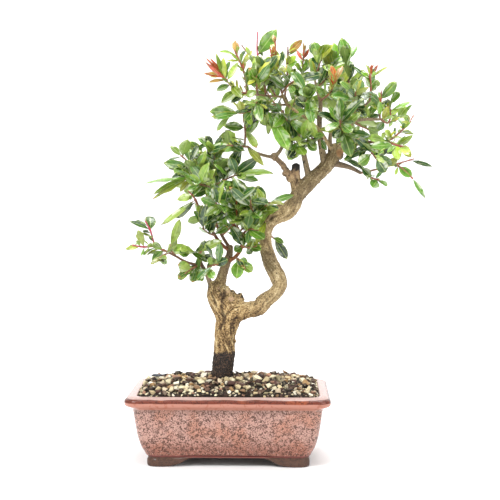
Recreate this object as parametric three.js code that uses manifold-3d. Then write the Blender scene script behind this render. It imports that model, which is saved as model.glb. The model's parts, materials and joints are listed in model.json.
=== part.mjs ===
// A pomegranate bonsai in its glazed pot: an S-bent trunk with a callus burl, leafy shoots, soil under
// a layer of grit, and a rectangular pot on four feet with drainage holes, meshes and wire clips.
//
// Millimetres, +Z up. While it is built, the pot's centre on the table is the origin, +X is the tree's
// right and +Y is its back. The finished group is moved so that its box stands centred on the origin.

import * as THREE from 'three';
import * as BufferGeometryUtils from 'three/addons/utils/BufferGeometryUtils.js';
import Module from 'manifold-3d';

const wasm = await Module();
wasm.setup();

// ---------------------------------------------------------------------------------------------
// Driving dimensions
// ---------------------------------------------------------------------------------------------

const GAP = 0.35; // air left between pieces that rest on or in each other

const POT_HALF_WIDTH = 101.4; // the pot is 203 mm across its rim
const POT_HALF_DEPTH = 66.4; // and 133 mm deep
const POT_CORNER_RADIUS = 13;
const FLOOR_UNDERSIDE = 9; // the feet lift the floor this far
const FLOOR_TOP = 17;
const RIM_TOP = 72;
const DRAIN_HOLE_RADIUS = 7;
const DRAIN_HOLE_X = 46; // one hole on each side of the middle
const FOOT_FLAT_INNER_X = 64; // the flat of each foot runs from here to the pot's end
const FOOT_ARCH_TOP_X = 35; // and its arch meets the floor's underside here
const FOOT_FLAT_INNER_Y = 32;
const FOOT_ARCH_TOP_Y = 12;

// The arch between two feet: share of the way from a foot's flat to the arch's top, share of its height.
const ARCH_CURVE = [[0, 0], [0.35, 0.16], [0.54, 0.34], [0.68, 0.58], [0.8, 0.82], [0.9, 0.94], [1, 1]];

// Height and half-width of the pot's outside, from the table up.
const POT_OUTSIDE = [
  [0, 81], [6.5, 81.1], [8.2, 79.8], [10, 80.2], [11.5, 82], [14.5, 83.2], [18, 85.2], [22, 87],
  [30, 89.4], [40, 91.2], [50, 92.6], [58, 93.6], [60.5, 95.4], [62.5, 99.2], [64, 101.4],
  [69, 101.4], [70.6, 100], [RIM_TOP, 95],
];

// Height and half-width of the space inside it, carried on above the rim.
const POT_INSIDE = [
  [FLOOR_TOP, 74], [24, 77.5], [40, 83], [58, 86.5], [65, 88.4], [RIM_TOP, 89.4], [95, 89.4],
];

const SOIL_TOP = 62;
const GRIT_EDGE_HEIGHT = 71; // where the grit meets the rim
const GRIT_DIP = 2; // it lies this much lower just inside the rim
const GRIT_MOUND = 11.5; // and this much higher around the trunk
const GRIT_FALL_ACROSS = 4; // how suddenly the mound falls off towards the ends, as a power
const GRIT_FALL_DEEP = 2.2; // and towards the front and the back
const GRIT_BUMP = 1.3;
const GRIT_WAVES = [[1.7, 0.9], [-0.5, 1.3]]; // the bumps' two waves, in radians per mm along X and Y
const GRIT_CELLS_ACROSS = 22;
const GRIT_CELLS_DEEP = 12;

const MESH_SIZE = 26; // drainage mesh, a square plastic grid
const MESH_THICKNESS = 1.2;
const MESH_HOLE = 4.4;
const MESH_PITCH = 6.4;
const MESH_HOLES_PER_SIDE = 3;
const MESH_POCKET_HEIGHT = 4; // how far the soil stays above the floor over a mesh
const WIRE_RADIUS = 0.6;
const WIRE_BEND = 1.5; // how far each bend takes the wire round its corner
const WIRE_TAIL = 9; // length of the ends bent out under the floor
const WIRE_SIDES = 5;
const WIRE_STEP = 2.2;

const CHIP_SIZE = [15, 8, 2]; // the flat bark chip on the grit
const CHIP_PLACE = [-76, 24, 95]; // it is let down from here onto the grit
const CHIP_TURN = -0.25;

// The trunk's centre line from its root plug to its cut top, each point with its radius.
const TRUNK_LINE = [
  [-8.5, 0, 34.3, 14], [-8.4, 0, 52.6, 15], [-7.9, 0, 70.8, 12.5], [-7.8, 0, 83.9, 10.7],
  [-5.5, 0, 109.1, 10.6], [-5.1, 0, 121.2, 10.3], [-2.9, 0, 136, 11.7], [4.2, -1, 147.8, 10.9],
  [12.3, -2, 150.6, 9.5], [19.2, -2, 152, 8.2], [29.7, -3, 154.5, 8.2], [36.4, -4, 161.6, 7.8],
  [45.7, -4, 168.7, 6.9], [51.3, -3, 176.3, 6.9], [49.4, 0, 184, 8], [44.7, 3, 193.9, 7.8],
  [41.8, 5, 199.4, 7.6], [36.6, 7, 218.6, 6.4], [37.1, 8, 232.3, 6], [41.4, 8, 243.6, 8.2],
  [48.9, 6, 249.2, 9.3], [57.3, 5, 251.8, 9], [64.4, 4, 258.4, 7.8], [68.3, 3, 267.4, 7.3],
  [73.3, 2, 274.3, 8.1], [81, 1, 281.7, 7.5], [90.2, -1, 290.3, 6.8], [98.6, -2, 298.7, 6.8],
  [103.7, -3, 306.4, 6.3], [107.8, -3, 314.3, 6.1], [109.4, -3, 319.2, 5.4],
];

// The callus burl that grew over an old cut: its swollen neck, as centre line points with radius,
const BURL_NECK = [
  [-3.3, 0, 127.2, 10.3], [-4.3, 0, 143.2, 9.8], [-7.8, 0, 155.3, 11.2], [-12.3, 0, 166.3, 11],
  [-13.3, 0, 174.3, 8.8], [-13.3, 0, 179.3, 6.8],
];

// and its lumps, as centre and half-sizes.
const BURL_LUMPS = [
  [[-2.3, 0, 161.3], [11, 10, 12]], [[4.7, 0, 160.8], [8.5, 8.5, 7]], [[-7.3, -3, 169.3], [9, 8, 8]],
  [[10.2, 0, 162.8], [4, 5, 4.5]],
];

// Small knobs and old branch collars on the bark.
const KNOBS = [
  [[28.1, -4, 162.8], 1.6], [[33.2, -4, 166.8], 1.5], [[51.5, -7, 166.9], 1.6], [[-14.9, -2, 114.1], 1.5],
  [[5.6, -2, 119.7], 1.6], [[65.5, -1, 286.5], 4.8], [[45.4, -2, 308], 3.8], [[109.6, -4, 309.4], 5.6],
  [[56, -2, 290.5], 2.8], [[60.5, -3, 288], 3.4], [[61, -2, 284.5], 3],
];

// The old dead stub above the elbow, as centre line points with radius.
const DEAD_STUB = [
  [68.6, 2, 272.9, 5.6], [66.8, 1, 283.8, 5.3], [66.9, 0, 291.7, 4.4], [67.2, 0, 299.6, 3.9],
];

// Woody limbs that grew out of the trunk, as centre line points with radius.
const LIMBS = {
  left_limb: [[-12, 0, 172, 6], [-6, 2, 192, 4.6], [-1, 4, 206, 3.6], [1, 5, 217, 2.6]],
  left_front_fork: [
    [-3, 3, 200, 1.8], [6, -2, 206, 1.8], [12, -5, 215, 1.7], [12, -6, 227, 1.6], [8, -5, 236, 1.4],
  ],
  left_outer: [
    [0, 5, 212, 1.9], [-8, 2, 218, 1.8], [-15, -2, 228, 1.6], [-24, -8, 246, 1.3],
    [-31, -14, 258, 1.1],
  ],
  left_rising: [
    [8, -5, 234, 1.4], [-1, 0, 246, 1.4], [-9, 5, 264, 1.3], [-15, 6, 274, 1.2], [-18, 6, 285, 1.1],
  ],
  left_back: [[0, 6, 214, 1.8], [-9, 20, 227, 1.6], [-20, 31, 248, 1.4], [-26, 36, 266, 1.2]],
  far_left_base: [[-19, 0, 175, 2.6], [-24, -3, 190, 2.1], [-29, -5, 200, 1.7], [-30, -6, 207, 1.4]],
  far_left: [[-28, -5, 197, 1.5], [-43, -11, 201, 1.4], [-53, -16, 207, 1.2], [-62, -19, 212, 1.1]],
  stub_branch: [[62, 2, 286, 3.4], [54, 0, 299, 2.8], [47, -2, 306, 2.6]],
  stub_left: [[46, -2, 306, 1.7], [26, -4, 312, 1.5], [18, -6, 318, 1.4]],
  stub_up: [[47, -2, 308, 2], [52, 0, 315, 1.8], [57, 3, 328, 1.5], [60, 5, 337, 1.3]],
  mid_left_branch: [
    [80, 0, 288, 3.2], [75, 3, 311, 2.6], [71, 5, 325, 2.3], [67, 8, 341, 1.9], [61, 10, 357, 1.5],
    [56, 10, 370, 1.2],
  ],
  mid_branch: [
    [96, -3, 301, 3.6], [92, -1, 324, 3], [91, 2, 345, 2.5], [92, 3, 363, 2], [88, 3, 377, 1.4],
    [86, 2, 386, 1.1],
  ],
  long_twig: [
    [102, -6, 316, 1.9], [91, -13, 333, 1.6], [79, -16, 344, 1.5], [57, -11, 361, 1.3],
    [53, -10, 371, 1.1],
  ],
  crown_left: [[54, -10, 367, 1.2], [39, -13, 368, 1.1], [23, -16, 369, 1]],
  crown_low_twig: [[60, -13, 359, 1.2], [41, -21, 358, 1.1]],
  leader: [
    [109, -3, 314, 3.4], [116, -6, 326, 2.8], [123, -8, 342, 2.3], [127, -8, 358, 1.7],
    [123, -6, 369, 1.3],
  ],
  right_mid: [[110, -4, 311, 2.8], [120, -8, 318, 2.2], [137, -11, 321, 1.7], [151, -14, 323, 1.2]],
  right_low: [[107, -3, 300.5, 3.1], [122, -5, 296.5, 2.3], [133, -6, 290.8, 1.6]],
  right_upper: [[124, -8, 343, 1.9], [138, -4, 345, 1.6], [152, 0, 345, 1.3]],
  right_rising: [[127, -8, 356, 1.4], [136, -4, 359, 1.2], [142, -1, 364, 1.1]],
  back_leader: [[102, 2, 312, 2.6], [103, 22, 330, 2], [108, 36, 349, 1.5], [113, 41, 361, 1.2]],
  back_left: [[75, 3, 311, 2.2], [69, 22, 325, 1.8], [60, 36, 342, 1.4], [53, 41, 356, 1.2]],
};

// Leafy shoots. A stem is a list of centre line points, the first on the limb that carries it.
// A leaf is [stem, share of the stem's length at its foot, tip x, y, z, width].
const SHOOTS = {
  far_left_tips: {
    stems: [
      [[-62, -19, 212], [-73, -22, 218], [-78, -24, 233], [-83, -26, 243]],
      [[-73, -22.5, 218.5], [-85, -24, 217], [-96, -26, 219]],
    ],
    leaves: [
      [0, 0.76, -98, -35, 243, 5], [0, 0.73, -81, -8, 247, 9], [1, 0.52, -88, -43, 235, 7],
      [1, 0.67, -103, -25, 215, 4.5],
    ],
  },
  far_left_heart: {
    stems: [
      [[-53.5, -16, 207], [-60, -8, 216], [-54, -4, 225]],
      [[-57.5, -11, 213], [-66, -30, 208], [-71, -40, 203]],
    ],
    leaves: [
      [0, 0.55, -43, -6, 244, 6.5], [1, 0.16, -52, -19, 224, 4], [1, 0.64, -77, -35, 200, 7],
      [1, 0.48, -65, -19, 199, 6],
    ],
  },
  left_low_fan: {
    stems: [
      [[-30, -6, 206], [-36, -14, 212], [-45, -21, 213]],
      [[-33, -9.5, 208.5], [-23, -11, 216], [-15, -14, 220]],
    ],
    leaves: [
      [0, 0.29, -49, -34, 216, 7], [1, 0.17, -7, -20, 223, 8], [0, 0.05, -17, -5, 205, 6],
    ],
  },
  left_low_outer: {
    stems: [
      [[-28.5, -5, 199], [-37, -14, 195], [-44, -21, 190]],
    ],
    leaves: [
      [0, 0.47, -52, -14, 199, 8], [0, 0.45, -52, -9, 184, 7], [0, 0.33, -37, -26, 182, 6],
      [0, 0.17, -27, -15, 182, 7],
    ],
  },
  left_low_inner: {
    stems: [
      [[-24, -3, 189.5], [-20, -18, 197], [-10, -27, 200]],
    ],
    leaves: [
      [0, 0.79, 0, -26, 205, 8], [0, 0.46, -15, -28, 186, 7], [0, 0.63, -16, -28, 208, 7],
    ],
  },
  left_hanging: {
    stems: [
      [[5.5, -2, 206.5], [11, -14, 202], [17, -24, 195]],
    ],
    leaves: [
      [0, 0.37, 8, -26, 185, 11], [0, 0.67, 23, -22, 192, 8], [0, 0.37, 19, -13, 201, 7],
    ],
  },
  left_fork_leaves: {
    stems: [
      [[12.5, -5, 217], [21, -14, 216], [28, -21, 218]],
    ],
    leaves: [
      [0, 0.11, 32, -13, 218, 9], [0, 0.37, 23, -14, 210, 7], [0, 0.03, 5, -13, 212, 8],
    ],
  },
  left_over_trunk: {
    stems: [
      [[12, -6, 228], [21, -24, 235], [30, -34, 234]],
    ],
    leaves: [
      [0, 0.57, 36, -38, 225, 12], [0, 0.35, 30, -19, 242, 9], [0, 0.09, 15, -32, 218, 7],
    ],
  },
  left_right_tip: {
    stems: [
      [[10.5, -5.5, 232], [18, -10, 239], [30, -14, 252], [41, -18, 262]],
      [[26, -13, 247.5], [23, -24, 255], [22, -34, 264]],
    ],
    leaves: [
      [0, 0.97, 66, -16, 269, 6], [0, 0.66, 49, -35, 255, 8], [1, 0.28, 4, -33, 288, 12],
      [0, 0.7, 29, -6, 278, 12], [0, 0.25, 12, -26, 252, 9],
    ],
  },
  left_mid_low: {
    stems: [
      [[-15, -2, 228], [-21, -18, 231], [-26, -27, 236]],
    ],
    leaves: [
      [0, 0.26, -28, -31, 238, 8], [0, 0.52, -17, -20, 243, 8], [0, 0.09, -2, 6, 237, 8],
    ],
  },
  left_outer_tip: {
    stems: [
      [[-30.5, -14, 257], [-35, -21, 267], [-40, -27, 273]],
    ],
    leaves: [
      [0, 0.42, -69, -24, 238, 5], [0, 0.3, -54, -21, 247, 7], [0, 0.67, -51, -32, 264, 7],
      [0, 0.17, -25, -18, 248, 7],
    ],
  },
  left_mid_front: {
    stems: [
      [[-1.5, 0.5, 248.5], [-5, -18, 254], [-12, -34, 261]],
    ],
    leaves: [
      [0, 0.28, -23, -10, 245, 8], [0, 0.6, 0, -40, 274, 9], [0, 0.8, -28, -32, 266, 9],
      [0, 0.1, 7, -18, 242, 8],
    ],
  },
  left_mid_right: {
    stems: [
      [[8, -5, 235], [8, -18, 250], [8, -27, 264]],
    ],
    leaves: [
      [0, 0.43, -4, -31, 259, 9], [0, 0.7, 19, -23, 268, 10], [0, 0.91, -2, -38, 278, 9],
      [0, 0.24, 20, -13, 248, 8],
    ],
  },
  left_heart: {
    stems: [
      [[-14.5, 6, 272.5], [-21, -11, 277], [-29, -30, 280]],
    ],
    leaves: [
      [0, 0.4, -39, -12, 268, 9], [0, 0.61, -12, -38, 294, 10], [0, 0.84, -44, -25, 288, 9],
    ],
  },
  left_long_leaves: {
    stems: [
      [[-18, 6, 284.5], [-30, -4, 287], [-43, -11, 287]],
      [[-27, -2, 286.5], [-38, -6, 299], [-49, -11, 309]],
    ],
    leaves: [
      [0, 0.85, -84, -28, 280, 6.5], [0, 0.93, -75, -16, 270, 6], [1, 0.31, -66, -20, 301, 8],
      [1, 0.95, -59, -9, 318, 6], [1, 0.88, -50, 2, 320, 5],
    ],
  },
  left_pad_top: {
    stems: [
      [[-18, 6, 284.5], [-15, 10, 302], [-17, 15, 317]],
      [[-16, 9, 296.5], [-26, 20, 308], [-37, 26, 316]],
    ],
    leaves: [
      [0, 0.74, 2, 10, 325, 9], [0, 0.93, -25, 2, 328, 9], [1, 0.77, -48, 24, 318, 8],
      [1, 0.55, -42, 20, 302, 9], [0, 0.62, 0, -1, 300, 9], [0, 0.98, -3, 25, 336, 6],
    ],
  },
  left_pad_right: {
    stems: [
      [[-16, 6, 277], [-3, 0, 285], [10, -6, 290]],
    ],
    leaves: [
      [0, 0.88, 46, -23, 290, 8], [0, 0.72, 29, -7, 307, 10], [0, 0.4, 17, -2, 274, 9],
      [0, 0.48, -11, -7, 298, 9],
    ],
  },
  left_back_top: {
    stems: [
      [[-26, 35.5, 265.5], [-24, 40, 282], [-20, 42, 298]],
      [[-25, 38, 274], [-36, 47, 278], [-46, 52, 280]],
    ],
    leaves: [
      [0, 0.64, -38, 49, 295, 9], [0, 0.9, -10, 56, 308, 9], [1, 0.57, -51, 49, 272, 9],
      [0, 0.31, -15, 51, 282, 9], [1, 0.76, -48, 52, 293, 8],
    ],
  },
  left_back_low: {
    stems: [
      [[-14.5, 25, 237.5], [-24, 38, 242], [-36, 45, 248]],
    ],
    leaves: [
      [0, 0.54, -17, 54, 255, 9], [0, 0.79, -46, 46, 240, 8], [0, 0.95, -40, 54, 260, 8],
    ],
  },
  left_back_right: {
    stems: [
      [[-8.5, 19, 227], [5, 31, 240], [16, 38, 255]],
    ],
    leaves: [
      [0, 0.54, -5, 36, 251, 9], [0, 0.77, 24, 45, 251, 9], [0, 0.93, 9, 39, 268, 8],
    ],
  },
  crown_left_low: {
    stems: [
      [[41, -21, 358.5], [30, -27, 353], [18, -30, 350], [2, -35, 350]],
      [[37.5, -23, 356.5], [32, -37, 357], [28, -46, 359]],
    ],
    leaves: [
      [0, 0.81, -18, -38, 351, 11], [0, 0.76, -16, -42, 345, 4], [0, 0.72, 11, -32, 362, 8],
      [0, 0.35, 34, -52, 362, 9], [0, 0.49, 16, -34, 342, 7],
    ],
  },
  crown_left_twig: {
    stems: [
      [[19, -6, 317.5], [9, -8, 318], [-2, -11, 319]],
      [[16, -6.5, 317.5], [16, -7, 334], [14, -10, 349]],
    ],
    leaves: [
      [1, 0.52, 28, -22, 315, 7], [0, 0.42, 2, -8, 314, 6], [1, 0.83, 23, -13, 354, 7],
      [0, 0.76, 14, -15, 313, 6],
    ],
  },
  crown_left_red: {
    stems: [
      [[25, -15.5, 369], [10, -18, 372], [-1, -21, 381], [-9, -22, 390]],
      [[17.5, -16.5, 370.5], [17, -19, 383], [12, -21, 399], [6, -22, 412]],
    ],
    leaves: [
      [0, 0.99, -20, -18, 399, 6], [0, 0.97, -12, -30, 408, 4], [0, 0.93, -6, -12, 405, 5],
      [1, 0.93, 6, -9, 423, 5], [1, 0.73, 0, -31, 410, 4.5], [1, 0.61, 23, -7, 414, 5],
      [0, 0.59, 15, -39, 363, 8],
    ],
  },
  crown_left_glossy: {
    stems: [
      [[29, -15, 368.5], [28, -34, 376], [28, -46, 384]],
    ],
    leaves: [
      [0, 0.45, 21, -54, 392, 12], [0, 0.61, 37, -36, 393, 12], [0, 0.31, 18, -25, 366, 8],
    ],
  },
  crown_left_long: {
    stems: [
      [[37, -13, 368], [34, -18, 387], [23, -21, 404], [13, -22, 417]],
    ],
    leaves: [
      [0, 0.28, 28, -28, 407, 11], [0, 0.17, 52, -15, 387, 11], [0, 0.77, 17, -21, 416, 4],
    ],
  },
  crown_pink: {
    stems: [
      [[47, -11, 367.5], [35, 6, 390], [28, 15, 412], [28, 20, 436]],
    ],
    leaves: [
      [0, 0.69, 48, 20, 439, 9], [0, 0.51, 43, 1, 407, 8], [0, 0.31, 51, 0, 377, 8],
    ],
  },
  crown_mid_red: {
    stems: [
      [[53, -9.5, 371], [48, -8, 392], [46, -8, 426]],
    ],
    leaves: [
      [0, 0.57, 44, -14, 418, 5], [0, 0.88, 44, -1, 430, 4], [0, 0.45, 41, -21, 402, 6],
      [0, 0.31, 57, -8, 396, 7],
    ],
  },
  crown_mid_brown: {
    stems: [
      [[56, 10.5, 369.5], [58, 13, 384], [59, 8, 402], [59, 6, 419]],
    ],
    leaves: [
      [0, 0.9, 73, 12, 426, 6], [0, 0.66, 67, 1, 409, 6], [0, 0.46, 49, 21, 401, 6],
    ],
  },
  crown_mid_right: {
    stems: [
      [[62, 10, 355.5], [71, 20, 378], [76, 22, 418]],
    ],
    leaves: [
      [0, 0.88, 77, 17, 419, 4], [0, 0.82, 68, 26, 418, 3], [0, 0.64, 63, 8, 404, 7],
      [0, 0.52, 82, 16, 394, 7],
    ],
  },
  crown_top: {
    stems: [
      [[86.5, 2, 386], [90, 8, 398], [94, 13, 410]],
    ],
    leaves: [
      [0, 0.82, 83, 22, 425, 12], [0, 0.95, 100, -1, 420, 13.5], [0, 0.57, 79, 6, 405, 11],
      [0, 0.32, 100, 6, 391, 8],
    ],
  },
  crown_top_right: {
    stems: [
      [[88.5, 3, 377], [100, 15, 390], [110, 24, 407]],
    ],
    leaves: [
      [0, 0.85, 103, 11, 412, 9], [0, 0.95, 116, 20, 403, 9], [0, 0.49, 90, 15, 383, 8],
      [0, 0.65, 115, 20, 391, 7],
    ],
  },
  crown_peak: {
    stems: [
      [[123.5, -6, 368.5], [120, 0, 385], [120, 4, 405]],
    ],
    leaves: [
      [0, 1, 113, 4, 428, 11], [0, 0.97, 129, 16, 420, 6.5], [0, 0.73, 113, -5, 380, 7],
      [0, 0.35, 111, -4, 370, 8],
    ],
  },
  crown_orange: {
    stems: [
      [[92, 3, 364], [101, -14, 371], [106, -24, 382]],
    ],
    leaves: [
      [0, 0.98, 102, -16, 398, 7], [0, 0.98, 113, -24, 396, 6], [0, 0.58, 111, -16, 373, 8],
      [0, 0.32, 86, -23, 375, 9],
    ],
  },
  crown_right_red: {
    stems: [
      [[141.5, -1, 364], [142, -8, 376], [140, -18, 389]],
    ],
    leaves: [
      [0, 0.45, 135, -18, 387, 9], [0, 0.39, 150, 0, 384, 7], [0, 0.97, 142, -24, 398, 3.5],
      [0, 0.89, 149, -5, 399, 3], [0, 0.89, 135, -30, 397, 3.5], [0, 0.81, 161, -6, 398, 2.5],
      [0, 0.75, 124, -6, 398, 3],
    ],
  },
  crown_right_up: {
    stems: [
      [[127, -8, 356], [125, -21, 363], [126, -27, 371]],
    ],
    leaves: [
      [0, 0.92, 132, -23, 383, 9], [0, 0.73, 116, -39, 371, 8], [0, 0.63, 135, -21, 359, 8],
    ],
  },
  crown_right_mid: {
    stems: [
      [[152, 0, 345.5], [152, 6, 357], [154, 10, 370]],
    ],
    leaves: [
      [0, 0.92, 168, 3, 384, 7.5], [0, 0.55, 153, 9, 371, 3.5], [0, 0.68, 140, -3, 371, 8],
      [0, 0.38, 161, 12, 366, 7], [0, 0.21, 141, 5, 344, 7],
    ],
  },
  crown_right_fork: {
    stems: [
      [[152, 0, 345.5], [161, 8, 342], [164, 15, 354], [162, 17, 362]],
      [[161, 8.5, 342.5], [171, 17, 346], [179, 24, 354]],
    ],
    leaves: [
      [1, 0.55, 181, 20, 360, 8], [1, 0.93, 186, 15, 361, 3], [0, 0.81, 159, 14, 366, 6],
      [0, 0.61, 172, 15, 358, 6], [0, 0.53, 155, 7, 357, 6], [0, 0.18, 150, 1, 334, 7],
    ],
  },
  crown_right_tips: {
    stems: [
      [[151, -14.5, 322.5], [161, -14, 324], [171, -18, 332], [181, -21, 342]],
      [[157, -14.5, 323.5], [164, -24, 319], [173, -30, 316]],
    ],
    leaves: [
      [0, 0.56, 183, -35, 328, 6], [0, 0.74, 171, -9, 346, 6], [1, 0.81, 181, -18, 310, 8],
      [1, 0.62, 167, -38, 303, 9], [1, 0.39, 158, -20, 309, 8], [0, 0.34, 154, -28, 332, 7],
    ],
  },
  crown_right_low_tip: {
    stems: [
      [[132.5, -6, 291], [150, -8, 295], [165, -11, 299], [185, -14, 305]],
      [[137.5, -6.5, 292], [143, -14, 286], [150, -19, 284]],
      [[167, -11, 299.5], [176, -14, 293], [183.5, -18, 285]],
    ],
    leaves: [
      [0, 0.92, 204, -14, 297, 4], [2, 0.1, 182, -17, 287, 8.5], [2, 0.95, 195.5, -24, 265, 4.5],
      [1, 1, 158, -18, 278, 4], [1, 0.89, 142, -31, 276, 9], [1, 0.55, 133, -14, 296, 7],
      [0, 0.46, 169, -14, 306, 7],
    ],
  },
  crown_right_drop: {
    stems: [
      [[137, -11, 321], [141, -24, 312], [147, -34, 303]],
    ],
    leaves: [
      [0, 0.88, 156, -28, 291, 11], [0, 0.62, 128, -42, 299, 9], [0, 0.78, 159, -15, 315, 8],
      [0, 0.21, 128, -32, 311, 8],
    ],
  },
  crown_front: {
    stems: [
      [[116.5, -6, 326], [112, -30, 333], [109, -50, 341]],
    ],
    leaves: [
      [0, 0.68, 85, -52, 348, 9], [0, 0.55, 90, -38, 333, 6.5], [0, 0.82, 132, -58, 362, 9.5],
      [0, 0.46, 121, -30, 307, 11], [0, 0.86, 120, -71, 328, 8], [0, 0.95, 105, -49, 355, 8],
    ],
  },
  crown_fork_front: {
    stems: [
      [[72.5, 4.5, 320.5], [68, -8, 320], [65, -18, 321]],
    ],
    leaves: [
      [0, 0.56, 59, -10, 306, 10], [0, 0.85, 75, -33, 308, 9],
    ],
  },
  crown_fork_right: {
    stems: [
      [[92, -0.5, 326.5], [84, -14, 325], [76, -24, 322]],
    ],
    leaves: [
      [0, 0.78, 70, -35, 317, 10], [0, 0.89, 87, -25, 313, 8], [0, 0.55, 95, -38, 327, 8],
    ],
  },
  crown_heart_left: {
    stems: [
      [[60, 5, 337], [56, -8, 346], [54, -24, 353]],
    ],
    leaves: [
      [0, 0.61, 60, -18, 312, 11], [0, 0.79, 44, -42, 335, 9], [0, 0.39, 69, -4, 326, 10],
      [0, 0.92, 41, -18, 358, 8],
    ],
  },
  crown_heart: {
    stems: [
      [[79, -16, 343.5], [77, -34, 356], [78, -46, 367]],
    ],
    leaves: [
      [0, 0.72, 87, -59, 370, 9], [0, 0.48, 67, -39, 364, 9], [0, 0.89, 71, -37, 375, 8],
      [0, 0.4, 88, -44, 350, 8],
    ],
  },
  crown_heart_top: {
    stems: [
      [[53, -9.5, 371], [60, -24, 378], [69, -34, 383]],
    ],
    leaves: [
      [0, 0.71, 93, -35, 387, 8], [0, 0.6, 72, -25, 370, 8], [0, 0.89, 61, -41, 392, 8],
      [0, 0.31, 47, -19, 381, 8],
    ],
  },
  crown_back_top: {
    stems: [
      [[113, 41.5, 360.5], [110, 49, 377], [104, 52, 393]],
      [[111, 46, 370.5], [122, 47, 379], [131, 47, 388]],
    ],
    leaves: [
      [0, 0.83, 96, 65, 395, 9], [0, 0.93, 113, 54, 404, 9], [1, 0.95, 140, 58, 394, 8],
      [1, 0.65, 118, 49, 392, 8], [0, 0.52, 98, 63, 372, 9],
    ],
  },
  crown_back_right: {
    stems: [
      [[108.5, 35.5, 349], [127, 49, 355], [143, 56, 364]],
      [[121, 45, 353], [133, 49, 343], [146, 52, 337]],
    ],
    leaves: [
      [0, 0.95, 153, 58, 371, 8], [0, 0.73, 128, 62, 372, 9], [1, 0.93, 155, 51, 331, 8],
      [1, 0.6, 128, 64, 334, 9], [0, 0.41, 114, 45, 360, 9],
    ],
  },
  crown_back_left: {
    stems: [
      [[53, 41.5, 355.5], [42, 52, 370], [33, 56, 384]],
      [[47, 47, 363], [36, 54, 356], [26, 59, 352]],
    ],
    leaves: [
      [0, 0.93, 26, 66, 393, 9], [0, 0.8, 47, 56, 386, 9], [1, 0.91, 17, 69, 364, 8],
      [1, 0.73, 36, 52, 342, 8], [0, 0.5, 32, 61, 372, 8],
    ],
  },
  crown_back_mid: {
    stems: [
      [[59.5, 35.5, 341.5], [72, 52, 356], [81, 61, 373]],
    ],
    leaves: [
      [0, 0.91, 70, 61, 380, 9], [0, 0.8, 90, 71, 370, 9], [0, 0.47, 60, 46, 364, 9],
      [0, 0.59, 83, 61, 348, 9],
    ],
  },
  trunk_sprout: {
    stems: [
      [[37, 8, 227], [41, 17, 227], [46, 20, 223]],
    ],
    leaves: [
      [0, 0.95, 59, 21, 202, 8.5], [0, 0.8, 55, 16, 219, 5], [0, 0.55, 36, 26, 213, 7],
    ],
  },
};

const PIN_SIDES = 20;
const POT_CORNER_STEPS = 2;
const TRUNK_SIDES = 10;
const TRUNK_STEP = 9;
const LUMP_SIDES = 7;
const KNOB_SIDES = 6;
const LIMB_SIDES = 5;
const LIMB_STEP = 13;
const STEM_SIDES = 4;
const STEM_STEP = 14;
const STEM_BASE_RADIUS = 1.1;
const STEM_TIP_RADIUS = 0.6;
const FORK_PLACES = 60; // places along a stem where another may fork off
const LEAF_CORNERS = 6; // a leaf is a flat six-cornered lens
const LAST_LEAF_PLACE = 0.95; // share of a stem's length at its last leaves
const LEAF_THICKNESS = 1.3;
const LEAF_ROOT = 0.35; // how far a blade reaches back into its stem
const LEAF_ROLLS = [50, -50, 25, -25, 85, 0]; // degrees that a blade is turned about its length,
const LEAF_SHORTENINGS = [1, 0.85, 0.7]; // and shares of its length, the first that keep it clear
const LEVEL_LEAST = 0.2; // below this sine from upright, a blade's level side is taken along X
const NEAR = 1; // shoots whose boxes are farther apart than this can't touch

// ---------------------------------------------------------------------------------------------
// Solids
// ---------------------------------------------------------------------------------------------

/** A solid from a closed three.js geometry. */
function solidOf(geometry) {
  geometry.deleteAttribute('normal');
  geometry.deleteAttribute('uv');
  const merged = BufferGeometryUtils.mergeVertices(geometry, 1e-4);
  return new wasm.Manifold(new wasm.Mesh({
    numProp: 3,
    vertProperties: new Float32Array(merged.attributes.position.array),
    triVerts: new Uint32Array(merged.index.array),
  }));
}

/** The three.js geometry of a solid. */
function geometryOf(solid) {
  const mesh = solid.getMesh();
  const geometry = new THREE.BufferGeometry();
  geometry.setAttribute('position', new THREE.BufferAttribute(new Float32Array(mesh.vertProperties), 3));
  geometry.setIndex(new THREE.BufferAttribute(new Uint32Array(mesh.triVerts), 1));
  geometry.computeVertexNormals();
  return geometry;
}

/** A box with its middle at centre. */
function boxSolid(size, centre, turn = 0) {
  const geometry = new THREE.BoxGeometry(...size);
  geometry.rotateZ(turn);
  geometry.translate(...centre);
  return solidOf(geometry);
}

/** An ellipsoid from its centre and half-sizes. */
function lump(centre, halfSizes, sides) {
  const geometry = new THREE.SphereGeometry(1, sides, Math.ceil(sides / 2));
  geometry.scale(...halfSizes);
  geometry.translate(...centre);
  return solidOf(geometry);
}

/** An upright cylinder between two heights. */
function uprightPin(radius, x, y, low, high) {
  const geometry = new THREE.CylinderGeometry(radius, radius, high - low, PIN_SIDES);
  geometry.rotateX(Math.PI / 2);
  geometry.translate(x, y, (low + high) / 2);
  return solidOf(geometry);
}

/** A flat shape with the given corner points. */
function outline(points) {
  return new THREE.Shape(points.map(([x, y]) => new THREE.Vector2(x, y)));
}

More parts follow.
